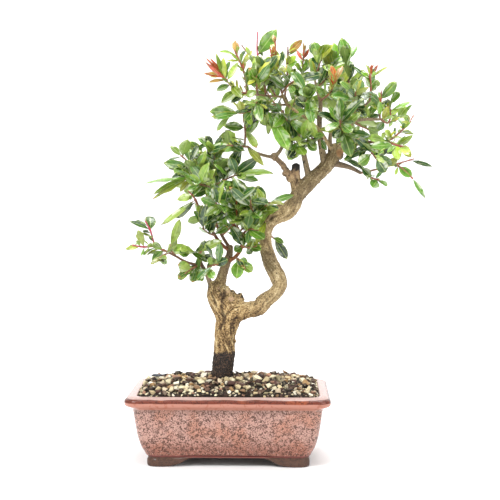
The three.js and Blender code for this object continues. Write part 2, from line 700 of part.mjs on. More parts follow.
/**
 * A round branch that follows a smooth line through points [x, y, z, radius].
 * A thin thread is extruded along the line, then each of its rings is widened to its own radius.
 */
function branch(points, sides, stepLength, swell = 0) {
  const thread = 0.05;
  const line = new THREE.CatmullRomCurve3(points.map(([x, y, z]) => new THREE.Vector3(x, y, z)));
  const steps = Math.max(points.length - 1, Math.round(line.getLength() / stepLength));
  const corners = Array.from({ length: sides }, (_, i) => {
    const angle = (i / sides) * 2 * Math.PI;
    return [thread * Math.cos(angle), thread * Math.sin(angle)];
  });
  const geometry = new THREE.ExtrudeGeometry(outline(corners), {
    steps, bevelEnabled: false, extrudePath: line,
  });
  const centres = line.getSpacedPoints(steps);
  const radii = centres.map((_, i) => radiusAt(points, line.getUtoTmapping(i / steps)) + swell);
  const place = geometry.attributes.position;
  const corner = new THREE.Vector3();
  for (let i = 0; i < place.count; i += 1) {
    corner.fromBufferAttribute(place, i);
    const ring = nearestIndex(centres, corner);
    corner.sub(centres[ring]).multiplyScalar(radii[ring] / thread).add(centres[ring]);
    place.setXYZ(i, corner.x, corner.y, corner.z);
  }
  return solidOf(geometry);
}

/** The radius at share t of the way through points [x, y, z, radius]. */
function radiusAt(points, t) {
  const reach = t * (points.length - 1);
  const before = Math.min(Math.floor(reach), points.length - 2);
  return THREE.MathUtils.lerp(points[before][3], points[before + 1][3], reach - before);
}

function nearestIndex(centres, point) {
  let nearest = 0;
  centres.forEach((centre, i) => {
    if (centre.distanceToSquared(point) < centres[nearest].distanceToSquared(point)) nearest = i;
  });
  return nearest;
}

/** The biggest of a solid's separate pieces. */
function largestPiece(solid) {
  return solid.decompose().reduce((best, piece) => (piece.volume() > best.volume() ? piece : best));
}

// ---------------------------------------------------------------------------------------------
// Pot
// ---------------------------------------------------------------------------------------------

/** A rectangle with round corners, around the origin. */
function roundedRectangle(halfWidth, halfDepth, radius) {
  const shape = new THREE.Shape();
  const x = halfWidth - radius;
  const y = halfDepth - radius;
  shape.absarc(x, y, radius, 0, Math.PI / 2);
  shape.absarc(-x, y, radius, Math.PI / 2, Math.PI);
  shape.absarc(-x, -y, radius, Math.PI, 1.5 * Math.PI);
  shape.absarc(x, -y, radius, 1.5 * Math.PI, 2 * Math.PI);
  return shape;
}

/** A block whose plan keeps the pot's outline and whose half-width follows rows of [height, half-width]. */
function potBlock(rows, inset = 0) {
  const geometry = new THREE.ExtrudeGeometry(
    roundedRectangle(POT_HALF_WIDTH, POT_HALF_DEPTH, POT_CORNER_RADIUS),
    {
      depth: rows.length - 1, steps: rows.length - 1, bevelEnabled: false,
      curveSegments: POT_CORNER_STEPS,
    },
  );
  const place = geometry.attributes.position;
  for (let i = 0; i < place.count; i += 1) {
    const [height, halfWidth] = rows[Math.round(place.getZ(i))];
    const narrower = POT_HALF_WIDTH - halfWidth + inset;
    place.setXYZ(
      i,
      place.getX(i) * (1 - narrower / POT_HALF_WIDTH),
      place.getY(i) * (1 - narrower / POT_HALF_DEPTH),
      height,
    );
  }
  return solidOf(geometry);
}

/** The tunnel under the floor between two feet, as a solid that runs along Y. */
function footTunnel(flatInner, archTop, halfLength) {
  const side = ARCH_CURVE.map(([across, up]) => [
    THREE.MathUtils.lerp(flatInner, archTop, across), up * FLOOR_UNDERSIDE,
  ]);
  const otherSide = side.map(([x, z]) => [-x, z]).reverse();
  const belowTable = [[-flatInner, -1], [flatInner, -1]];
  const geometry = new THREE.ExtrudeGeometry(outline([...belowTable, ...side, ...otherSide]), {
    depth: 2 * halfLength, bevelEnabled: false,
  });
  geometry.translate(0, 0, -halfLength);
  geometry.rotateX(Math.PI / 2);
  return solidOf(geometry);
}

function potSolid() {
  let pot = potBlock(POT_OUTSIDE).subtract(potBlock(POT_INSIDE));
  pot = pot.subtract(footTunnel(FOOT_FLAT_INNER_X, FOOT_ARCH_TOP_X, POT_HALF_DEPTH));
  pot = pot.subtract(footTunnel(FOOT_FLAT_INNER_Y, FOOT_ARCH_TOP_Y, POT_HALF_WIDTH).rotate([0, 0, 90]));
  for (const x of [-DRAIN_HOLE_X, DRAIN_HOLE_X]) {
    pot = pot.subtract(uprightPin(DRAIN_HOLE_RADIUS, x, 0, 0, 2 * FLOOR_TOP));
  }
  return pot;
}

// ---------------------------------------------------------------------------------------------
// Drainage, soil and grit
// ---------------------------------------------------------------------------------------------

/** A square plastic grid that lies over a drainage hole. */
function drainMesh(x) {
  const height = FLOOR_TOP + GAP + MESH_THICKNESS / 2;
  const middle = (MESH_HOLES_PER_SIDE - 1) / 2;
  let grid = boxSolid([MESH_SIZE, MESH_SIZE, MESH_THICKNESS], [x, 0, height]);
  for (let row = 0; row < MESH_HOLES_PER_SIDE; row += 1) {
    for (let column = 0; column < MESH_HOLES_PER_SIDE; column += 1) {
      const centre = [x + (column - middle) * MESH_PITCH, (row - middle) * MESH_PITCH, height];
      grid = grid.subtract(boxSolid([MESH_HOLE, MESH_HOLE, 2 * MESH_THICKNESS], centre));
    }
  }
  return grid;
}

/** The wire staple that holds a mesh: across its top, down through two grid holes and bent out below. */
function meshClip(x) {
  const top = FLOOR_TOP + GAP + MESH_THICKNESS + GAP + WIRE_RADIUS;
  const below = FLOOR_UNDERSIDE - GAP - WIRE_RADIUS;
  const leg = MESH_PITCH - 1;
  const right = [
    [0, 0, top], [leg - WIRE_BEND, 0, top], [leg, 0, top - WIRE_BEND], [leg, 0, below + WIRE_BEND],
    [leg + WIRE_BEND, 0, below], [leg + WIRE_TAIL, 0, below],
  ];
  const left = right.slice(1).reverse().map(([px, py, pz]) => [-px, py, pz]);
  const route = [...left, ...right].map(([px, py, pz]) => [x + px, py, pz, WIRE_RADIUS]);
  return branch(route, WIRE_SIDES, WIRE_STEP);
}

/** The ground's room inside the pot, clear of its walls and of the trunk. */
function groundRoom(trunkRoom) {
  return potBlock(POT_INSIDE, GAP).subtract(trunkRoom);
}

/** The soil block around the roots, with a pocket over each mesh. */
function soilSolid(room) {
  const low = FLOOR_TOP + GAP;
  const layer = [2 * POT_HALF_WIDTH, 2 * POT_HALF_DEPTH, SOIL_TOP - low];
  let soil = room.intersect(boxSolid(layer, [0, 0, (SOIL_TOP + low) / 2]));
  const pocket = MESH_SIZE + 2 * GAP;
  for (const x of [-DRAIN_HOLE_X, DRAIN_HOLE_X]) {
    soil = soil.subtract(boxSolid([pocket, pocket, 2 * MESH_POCKET_HEIGHT], [x, 0, FLOOR_TOP]));
  }
  return soil;
}

/** The height of the grit's top at a place in the pot. */
function gritHeight(x, y) {
  const across = 1 - Math.abs(x / POT_HALF_WIDTH) ** GRIT_FALL_ACROSS;
  const deep = 1 - Math.min(1, Math.abs(y / POT_HALF_DEPTH)) ** GRIT_FALL_DEEP;
  return GRIT_EDGE_HEIGHT - GRIT_DIP + (GRIT_MOUND + GRIT_DIP) * across * deep;
}

/** The loose grit, one bumpy layer that rises from the rim to the trunk. */
function gritSolid(room) {
  const low = SOIL_TOP + GAP;
  const geometry = new THREE.BoxGeometry(
    2 * POT_HALF_WIDTH, 2 * POT_HALF_DEPTH, 1, GRIT_CELLS_ACROSS, GRIT_CELLS_DEEP, 1,
  );
  const place = geometry.attributes.position;
  for (let i = 0; i < place.count; i += 1) {
    const x = place.getX(i);
    const y = place.getY(i);
    const [first, second] = GRIT_WAVES.map(([along, deep]) => x * along + y * deep);
    const bump = GRIT_BUMP * Math.sin(first) * Math.cos(second);
    place.setZ(i, place.getZ(i) < 0 ? low : gritHeight(x, y) + bump);
  }
  return largestPiece(room.intersect(solidOf(geometry)));
}

/** The flat chip, set down on the grit. */
function chipSolid(grit) {
  let chip = boxSolid(CHIP_SIZE, CHIP_PLACE, CHIP_TURN);
  while (chip.minGap(grit, 2 * GAP) > 1.5 * GAP) chip = chip.translate([0, 0, -GAP / 2]);
  return chip;
}

// ---------------------------------------------------------------------------------------------
// Tree
// ---------------------------------------------------------------------------------------------

/** The trunk with its burl, knobs, dead stub and limbs. A swell above 0 makes the room that it needs. */
function trunkSolid(swell = 0) {
  let trunk = branch(TRUNK_LINE, TRUNK_SIDES, TRUNK_STEP, swell);
  trunk = trunk.add(branch(BURL_NECK, TRUNK_SIDES, TRUNK_STEP, swell));
  for (const [centre, halfSizes] of BURL_LUMPS) {
    trunk = trunk.add(lump(centre, halfSizes.map((half) => half + swell), LUMP_SIDES));
  }
  for (const [centre, radius] of KNOBS) {
    trunk = trunk.add(lump(centre, Array(3).fill(radius + swell), KNOB_SIDES));
  }
  trunk = trunk.add(branch(DEAD_STUB, LIMB_SIDES, LIMB_STEP, swell));
  for (const limb of Object.values(LIMBS)) {
    trunk = trunk.add(branch(limb, LIMB_SIDES, LIMB_STEP, swell));
  }
  return trunk;
}

/** The smooth lines of a shoot's stems. Every stem after the first starts on the first one's line. */
function stemLines(stems) {
  const lines = stems.map((stem) => new THREE.CatmullRomCurve3(stem.map((p) => new THREE.Vector3(...p))));
  const main = lines[0].getSpacedPoints(FORK_PLACES);
  for (const side of lines.slice(1)) {
    side.points[0].copy(main[nearestIndex(main, side.points[0])]);
  }
  return lines;
}

/** A shoot's bare stems. A swell above 0 makes the room that they need. */
function stemsSolid(lines, swell = 0) {
  const solids = lines.map(({ points }) => {
    const last = points.length - 1;
    const rows = points.map(({ x, y, z }, i) => [
      x, y, z, THREE.MathUtils.lerp(STEM_BASE_RADIUS, STEM_TIP_RADIUS, i / last),
    ]);
    return branch(rows, STEM_SIDES, STEM_STEP, swell);
  });
  return solids.reduce((all, stem) => all.add(stem));
}

/** A leaf blade from its stalk's foot to its tip, turned by roll degrees about its own length. */
function leafSolid(foot, tip, width, roll) {
  const along = tip.clone().sub(foot).normalize();
  const base = foot.clone().addScaledVector(along, -LEAF_ROOT);
  const length = base.distanceTo(tip);
  const flat = new THREE.Vector3(0, 0, 1).cross(along);
  if (flat.length() < LEVEL_LEAST) flat.set(1, 0, 0);
  flat.normalize().applyAxisAngle(along, THREE.MathUtils.degToRad(roll));
  const up = new THREE.Vector3().crossVectors(along, flat);
  const geometry = new THREE.SphereGeometry(1, LEAF_CORNERS, 2);
  geometry.scale(length / 2, LEAF_THICKNESS / 2, width / 2);
  geometry.applyMatrix4(new THREE.Matrix4().makeBasis(along, up.negate(), flat));
  const middle = base.lerp(tip, 0.5);
  geometry.translate(middle.x, middle.y, middle.z);
  return solidOf(geometry);
}

/** Whether a solid keeps its distance from all the others. */
function isClear(solid, others) {
  const box = solid.boundingBox();
  return others.every(({ shape, low, high }) => {
    const apart = [0, 1, 2].some((i) => low[i] > box.max[i] + NEAR || high[i] < box.min[i] - NEAR);
    return apart || solid.minGap(shape, NEAR) >= GAP;
  });
}

/** The leaf with this foot and tip that stays clear of the other shoots, or null. */
function fittedLeaf(foot, tip, width, others) {
  for (const share of LEAF_SHORTENINGS) {
    const reach = foot.clone().lerp(tip, share);
    for (const roll of LEAF_ROLLS) {
      const leaf = leafSolid(foot, reach, width, roll);
      if (isClear(leaf, others)) return leaf;
    }
  }
  return null;
}

/** A solid with its box, for quick tests. */
function withBox(shape) {
  const { min, max } = shape.boundingBox();
  return { shape, low: min, high: max };
}

/** Every shoot as one solid of stems and leaves, by name. Stems stay clear of the trunk and each other. */
function shootSolids(trunk, trunkRoom) {
  const names = Object.keys(SHOOTS);
  const lines = new Map(names.map((name) => [name, stemLines(SHOOTS[name].stems)]));
  const grown = new Map();
  let taken = trunkRoom;
  for (const name of names) {
    grown.set(name, withBox(largestPiece(stemsSolid(lines.get(name)).subtract(taken))));
    taken = taken.add(stemsSolid(lines.get(name), GAP));
  }
  for (const name of names) {
    const others = names.filter((other) => other !== name).map((other) => grown.get(other));
    others.push(withBox(trunk));
    for (const [stem, along, x, y, z, width] of SHOOTS[name].leaves) {
      const foot = lines.get(name)[stem].getPointAt(Math.min(along, LAST_LEAF_PLACE));
      const leaf = fittedLeaf(foot, new THREE.Vector3(x, y, z), width, others);
      const { shape } = grown.get(name);
      if (leaf && leaf.minGap(shape, GAP) === 0) grown.set(name, withBox(shape.add(leaf)));
    }
  }
  return grown;
}

// ---------------------------------------------------------------------------------------------
// Finishes and assembly
// ---------------------------------------------------------------------------------------------

const FINISH = {
  glaze: { color: 0xc4897a, roughness: 0.35, metalness: 0 },
  plastic: { color: 0x2b2f2c, roughness: 0.6, metalness: 0 },
  wire: { color: 0xb9bcc0, roughness: 0.35, metalness: 1 },
  soil: { color: 0x4a382a, roughness: 0.95, metalness: 0 },
  grit: { color: 0xbfae83, roughness: 0.9, metalness: 0 },
  darkBark: { color: 0x3b332c, roughness: 0.9, metalness: 0 },
  bark: { color: 0xa08c62, roughness: 0.85, metalness: 0 },
  leaf: { color: 0x3f8a2f, roughness: 0.35, metalness: 0 },
};

function namedMesh(name, solid, finish) {
  const mesh = new THREE.Mesh(geometryOf(solid), new THREE.MeshStandardMaterial(FINISH[finish]));
  mesh.name = name;
  return mesh;
}

/** The whole bonsai, its box centred on the origin and standing on z = 0. */
function bonsai() {
  const trunk = trunkSolid();
  const trunkRoom = trunkSolid(GAP);
  const room = groundRoom(trunkRoom);
  const grit = gritSolid(room);
  const tree = new THREE.Group();
  tree.add(namedMesh('pot', potSolid(), 'glaze'));
  for (const [side, x] of [['left', -DRAIN_HOLE_X], ['right', DRAIN_HOLE_X]]) {
    tree.add(namedMesh(`drain_mesh_${side}`, drainMesh(x), 'plastic'));
    tree.add(namedMesh(`mesh_clip_${side}`, meshClip(x), 'wire'));
  }
  tree.add(namedMesh('soil', soilSolid(room), 'soil'));
  tree.add(namedMesh('gravel_layer', grit, 'grit'));
  tree.add(namedMesh('bark_chip', chipSolid(grit), 'darkBark'));
  tree.add(namedMesh('trunk', trunk, 'bark'));
  for (const [name, { shape }] of shootSolids(trunk, trunkRoom)) {
    tree.add(namedMesh(`shoot_${name}`, shape, 'leaf'));
  }
  const box = new THREE.Box3().setFromObject(tree);
  const middle = box.getCenter(new THREE.Vector3());
  tree.position.set(-middle.x, -middle.y, -box.min.z);
  tree.updateMatrixWorld(true);
  return tree;
}

export default bonsai();
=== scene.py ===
"""Looks of a pomegranate bonsai in its glazed pot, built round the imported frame.

Sizes and places in the tables are real millimetres, measured from the middle of the pot's foot with
z up. Each sub-assembly is a class that builds its meshes and dresses them; each finish is a class
that makes one material.
"""

import json
import logging
import math
import random
from collections.abc import Iterable, Sequence
from dataclasses import dataclass, replace
from enum import Enum
from functools import partial

import bmesh
import bpy
import numpy as np
from mathutils import Euler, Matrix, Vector, noise
from mathutils.bvhtree import BVHTree

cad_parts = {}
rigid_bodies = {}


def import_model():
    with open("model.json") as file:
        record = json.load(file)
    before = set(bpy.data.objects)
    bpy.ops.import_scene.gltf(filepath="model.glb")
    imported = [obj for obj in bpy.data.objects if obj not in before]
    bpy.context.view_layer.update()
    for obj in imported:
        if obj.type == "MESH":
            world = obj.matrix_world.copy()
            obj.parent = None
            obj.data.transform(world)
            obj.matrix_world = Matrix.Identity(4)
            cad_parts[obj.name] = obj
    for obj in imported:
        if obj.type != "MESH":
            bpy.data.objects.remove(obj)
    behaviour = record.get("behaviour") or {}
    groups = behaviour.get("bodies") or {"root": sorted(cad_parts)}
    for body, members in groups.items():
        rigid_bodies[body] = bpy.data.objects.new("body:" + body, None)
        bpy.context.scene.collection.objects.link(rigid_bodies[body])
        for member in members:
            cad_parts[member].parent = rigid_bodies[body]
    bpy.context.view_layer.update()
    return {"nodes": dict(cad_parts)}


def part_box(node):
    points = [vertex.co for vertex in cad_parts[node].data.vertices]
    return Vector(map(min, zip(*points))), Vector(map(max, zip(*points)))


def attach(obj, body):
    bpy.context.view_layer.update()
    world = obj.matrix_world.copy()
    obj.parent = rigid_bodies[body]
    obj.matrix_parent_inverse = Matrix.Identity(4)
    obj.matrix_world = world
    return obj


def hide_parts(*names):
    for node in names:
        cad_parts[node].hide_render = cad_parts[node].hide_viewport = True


log = logging.getLogger("bonsai")

MM = 0.001
BODY = "root"

Point = tuple[float, float, float]
Row = tuple[float, float, float, float]
# A point of a plane, and two numbers that belong together, such as a range.
Flat = tuple[float, float]
Pair = tuple[float, float]

# Means and spreads of the axes of a random direction that may point any way.
EVERY_WAY: tuple[Pair, ...] = ((0, 1), (0, 1), (0, 1))


class Age(Enum):
    """How old a leaf is, which sets its colour."""

    MATURE = "mature"
    YOUNG = "young"
    RED = "red"
    ORANGE = "orange"


class Twig(Enum):
    """The skin of a shoot's stems, as its sRGB colour."""

    RED_BROWN = "#93654a"
    PINK = "#b8405a"
    RED = "#a0523f"
    BROWN = "#7b4a31"
    ORANGE_BROWN = "#a5632f"
    OLIVE = "#7c7a3a"


# Short names for the tables of leaves.
M, Y, R, O = Age.MATURE, Age.YOUNG, Age.RED, Age.ORANGE


@dataclass(frozen=True)
class Shoot:
    """One leafy shoot. A leaf is (stem, share of the stem at its foot, tip x, y, z, width, age)."""

    stems: list[list[Point]]
    leaves: list[tuple]
    skin: Twig = Twig.RED_BROWN

    @property
    def is_fresh(self) -> bool:
        """Whether it is this season's growth, with small narrow leaves."""
        return self.skin in (Twig.PINK, Twig.RED, Twig.BROWN) or any(
            leaf[-1] in (Age.RED, Age.ORANGE) for leaf in self.leaves
        )


# ---------------------------------------------------------------------------------------------
# The tree's lines
# ---------------------------------------------------------------------------------------------

# The trunk's centre line from its root plug to its cut top, each point with its radius.
TRUNK_LINE: list[Row] = [
    (-8.5, 0, 34.3, 14), (-8.4, 0, 52.6, 15), (-7.9, 0, 70.8, 12.5), (-7.8, 0, 83.9, 10.7),
    (-5.5, 0, 109.1, 10.6), (-5.1, 0, 121.2, 10.3), (-2.9, 0, 136, 11.7), (4.2, -1, 147.8, 10.9),
    (12.3, -2, 150.6, 9.5), (19.2, -2, 152, 8.2), (29.7, -3, 154.5, 8.2), (36.4, -4, 161.6, 7.8),
    (45.7, -4, 168.7, 6.9), (51.3, -3, 176.3, 6.9), (49.4, 0, 184, 8), (44.7, 3, 193.9, 7.8),
    (41.8, 5, 199.4, 7.6), (36.6, 7, 218.6, 6.4), (37.1, 8, 232.3, 6), (41.4, 8, 243.6, 8.2),
    (48.9, 6, 249.2, 9.3), (57.3, 5, 251.8, 9), (64.4, 4, 258.4, 7.8), (68.3, 3, 267.4, 7.3),
    (73.3, 2, 274.3, 8.1), (81, 1, 281.7, 7.5), (90.2, -1, 290.3, 6.8), (98.6, -2, 298.7, 6.8),
    (103.7, -3, 306.4, 6.3), (107.8, -3, 314.3, 6.1), (109.4, -3, 319.2, 5.4),
]

# The swollen neck of the callus burl.
BURL_NECK: list[Row] = [
    (-3.3, 0, 127.2, 10.3), (-4.3, 0, 143.2, 9.8), (-7.8, 0, 155.3, 11.2), (-12.3, 0, 166.3, 11),
    (-13.3, 0, 174.3, 8.8), (-13.3, 0, 179.3, 6.8),
]

# The burl's lumps, as centre and half-sizes.
BURL_LUMPS: list[tuple[Point, Point]] = [
    ((-2.3, 0, 161.3), (11, 10, 12)), ((4.7, 0, 160.8), (8.5, 8.5, 7)),
    ((-7.3, -3, 169.3), (9, 8, 8)), ((10.2, 0, 162.8), (4, 5, 4.5)),
]

# Knobs and old branch collars on the bark, as centre and radius.
KNOBS: list[tuple[Point, float]] = [
    ((28.1, -4, 162.8), 1.6), ((33.2, -4, 166.8), 1.5), ((51.5, -7, 166.9), 1.6),
    ((-14.9, -2, 114.1), 1.5), ((5.6, -2, 119.7), 1.6), ((65.5, -1, 286.5), 4.8),
    ((45.4, -2, 308), 3.8), ((109.6, -4, 309.4), 5.6), ((56, -2, 290.5), 2.8),
    ((60.5, -3, 288), 3.4), ((61, -2, 284.5), 3),
]

DEAD_STUB: list[Row] = [
    (68.6, 2, 272.9, 5.6), (66.8, 1, 283.8, 5.3), (66.9, 0, 291.7, 4.4), (67.2, 0, 299.6, 3.9),
]

# Woody limbs that grew out of the trunk.
LIMBS: dict[str, list[Row]] = {
    "left_limb": [(-12, 0, 172, 6), (-6, 2, 192, 4.6), (-1, 4, 206, 3.6), (1, 5, 217, 2.6)],
    "left_front_fork": [
        (-3, 3, 200, 1.8), (6, -2, 206, 1.8), (12, -5, 215, 1.7), (12, -6, 227, 1.6),
        (8, -5, 236, 1.4),
    ],
    "left_outer": [
        (0, 5, 212, 1.9), (-8, 2, 218, 1.8), (-15, -2, 228, 1.6), (-24, -8, 246, 1.3),
        (-31, -14, 258, 1.1),
    ],
    "left_rising": [
        (8, -5, 234, 1.4), (-1, 0, 246, 1.4), (-9, 5, 264, 1.3), (-15, 6, 274, 1.2),
        (-18, 6, 285, 1.1),
    ],
    "left_back": [(0, 6, 214, 1.8), (-9, 20, 227, 1.6), (-20, 31, 248, 1.4), (-26, 36, 266, 1.2)],
    "far_left_base": [
        (-19, 0, 175, 2.6), (-24, -3, 190, 2.1), (-29, -5, 200, 1.7), (-30, -6, 207, 1.4),
    ],
    "far_left": [
        (-28, -5, 197, 1.5), (-43, -11, 201, 1.4), (-53, -16, 207, 1.2), (-62, -19, 212, 1.1),
    ],
    "stub_branch": [(62, 2, 286, 3.4), (54, 0, 299, 2.8), (47, -2, 306, 2.6)],
    "stub_left": [(46, -2, 306, 1.7), (26, -4, 312, 1.5), (18, -6, 318, 1.4)],
    "stub_up": [(47, -2, 308, 2), (52, 0, 315, 1.8), (57, 3, 328, 1.5), (60, 5, 337, 1.3)],
    "mid_left_branch": [
        (80, 0, 288, 3.2), (75, 3, 311, 2.6), (71, 5, 325, 2.3), (67, 8, 341, 1.9),
        (61, 10, 357, 1.5), (56, 10, 370, 1.2),
    ],
    "mid_branch": [
        (96, -3, 301, 3.6), (92, -1, 324, 3), (91, 2, 345, 2.5), (92, 3, 363, 2),
        (88, 3, 377, 1.4), (86, 2, 386, 1.1),
    ],
    "long_twig": [
        (102, -6, 316, 1.9), (91, -13, 333, 1.6), (79, -16, 344, 1.5), (57, -11, 361, 1.3),
        (53, -10, 371, 1.1),
    ],
    "crown_left": [(54, -10, 367, 1.2), (39, -13, 368, 1.1), (23, -16, 369, 1)],
    "crown_low_twig": [(60, -13, 359, 1.2), (41, -21, 358, 1.1)],
    "leader": [
        (109, -3, 314, 3.4), (116, -6, 326, 2.8), (123, -8, 342, 2.3), (127, -8, 358, 1.7),
        (123, -6, 369, 1.3),
    ],
    "right_mid": [
        (110, -4, 311, 2.8), (120, -8, 318, 2.2), (137, -11, 321, 1.7), (151, -14, 323, 1.2),
    ],
    "right_low": [(107, -3, 300.5, 3.1), (122, -5, 296.5, 2.3), (133, -6, 290.8, 1.6)],
    "right_upper": [(124, -8, 343, 1.9), (138, -4, 345, 1.6), (152, 0, 345, 1.3)],
    "right_rising": [(127, -8, 356, 1.4), (136, -4, 359, 1.2), (142, -1, 364, 1.1)],
    "back_leader": [
        (102, 2, 312, 2.6), (103, 22, 330, 2), (108, 36, 349, 1.5), (113, 41, 361, 1.2),
    ],
    "back_left": [(75, 3, 311, 2.2), (69, 22, 325, 1.8), (60, 36, 342, 1.4), (53, 41, 356, 1.2)],
}

# The bark tones of the limbs: old wood, unless the limb is younger.
OLD_LIMB = "#9a8669"
LIMB_TONES: dict[str, str] = {
    "stub": "#a88a68", "stub_branch": "#9c8062",
    "left_limb": "#8b7659", "left_front_fork": "#a5683f", "left_outer": "#9a6242",
    "left_rising": "#96593c", "left_back": "#7d5a41", "far_left_base": "#8c7a63",
    "far_left": "#84604b", "long_twig": "#b39a70", "crown_left": "#a58a62",
    "crown_low_twig": "#a58a62", "right_low": "#7d6a55", "right_mid": "#8f7358",
}

# Gaps that one sees through from the front, as x, z and radius. No filler leaf reaches into them.
GAPS: tuple[tuple[float, float, float], ...] = (
    (-45, 228, 15), (-31, 234, 9), (5, 391, 7), (33, 316, 16), (21, 299, 12), (43, 274, 10),
    (33, 296, 11), (181, 292, 12), (9, 342, 9), (-24, 230, 9), (-17, 211, 8), (23, 205, 9),
    (-1, 314, 7), (143, 296, 7), (159, 288, 7), (16, 329, 8), (-49, 307, 8), (-68, 232, 10),
    (139, 378, 6), (17, 427, 10), (35, 430, 8), (56, 423, 10), (3, 420, 8), (-54, 193, 7),
    (-70, 259, 14), (-44, 254, 9), (161, 304, 6), (48, 214, 12),
)

# Limbs that stay in sight: no filler leaf stands in front of them.
SEEN_TWIGS: tuple[str, ...] = (
    "long_twig", "crown_left", "left_front_fork", "left_limb", "mid_branch",
)

# Tufts of new leaves: stem, share of the stem at their foot, how many, how long and their age.
TIPS: dict[str, tuple[tuple[int, float, int, float, Age], ...]] = {
    "crown_left_red": ((0, 0.93, 5, 17, R), (1, 0.88, 4, 16, R), (1, 0.5, 2, 12, R)),
    "crown_pink": ((0, 0.4, 2, 10, R),),
    "crown_mid_red": ((0, 0.55, 3, 18, R), (0, 0.35, 3, 15, O)),
    "crown_mid_right": ((0, 0.92, 4, 11, R),),
    "crown_orange": ((0, 0.8, 4, 15, O),),
    "crown_right_red": ((0, 0.92, 4, 12, R),),
    "crown_right_mid": ((0, 0.85, 3, 12, R),),
    "crown_right_tips": ((0, 0.95, 2, 9, O),),
    "crown_right_fork": ((0, 0.95, 2, 9, O),),
    "left_pad_top": ((1, 0.95, 2, 8, O),),
    "far_left_tips": ((0, 0.95, 2, 8, Y),),
}

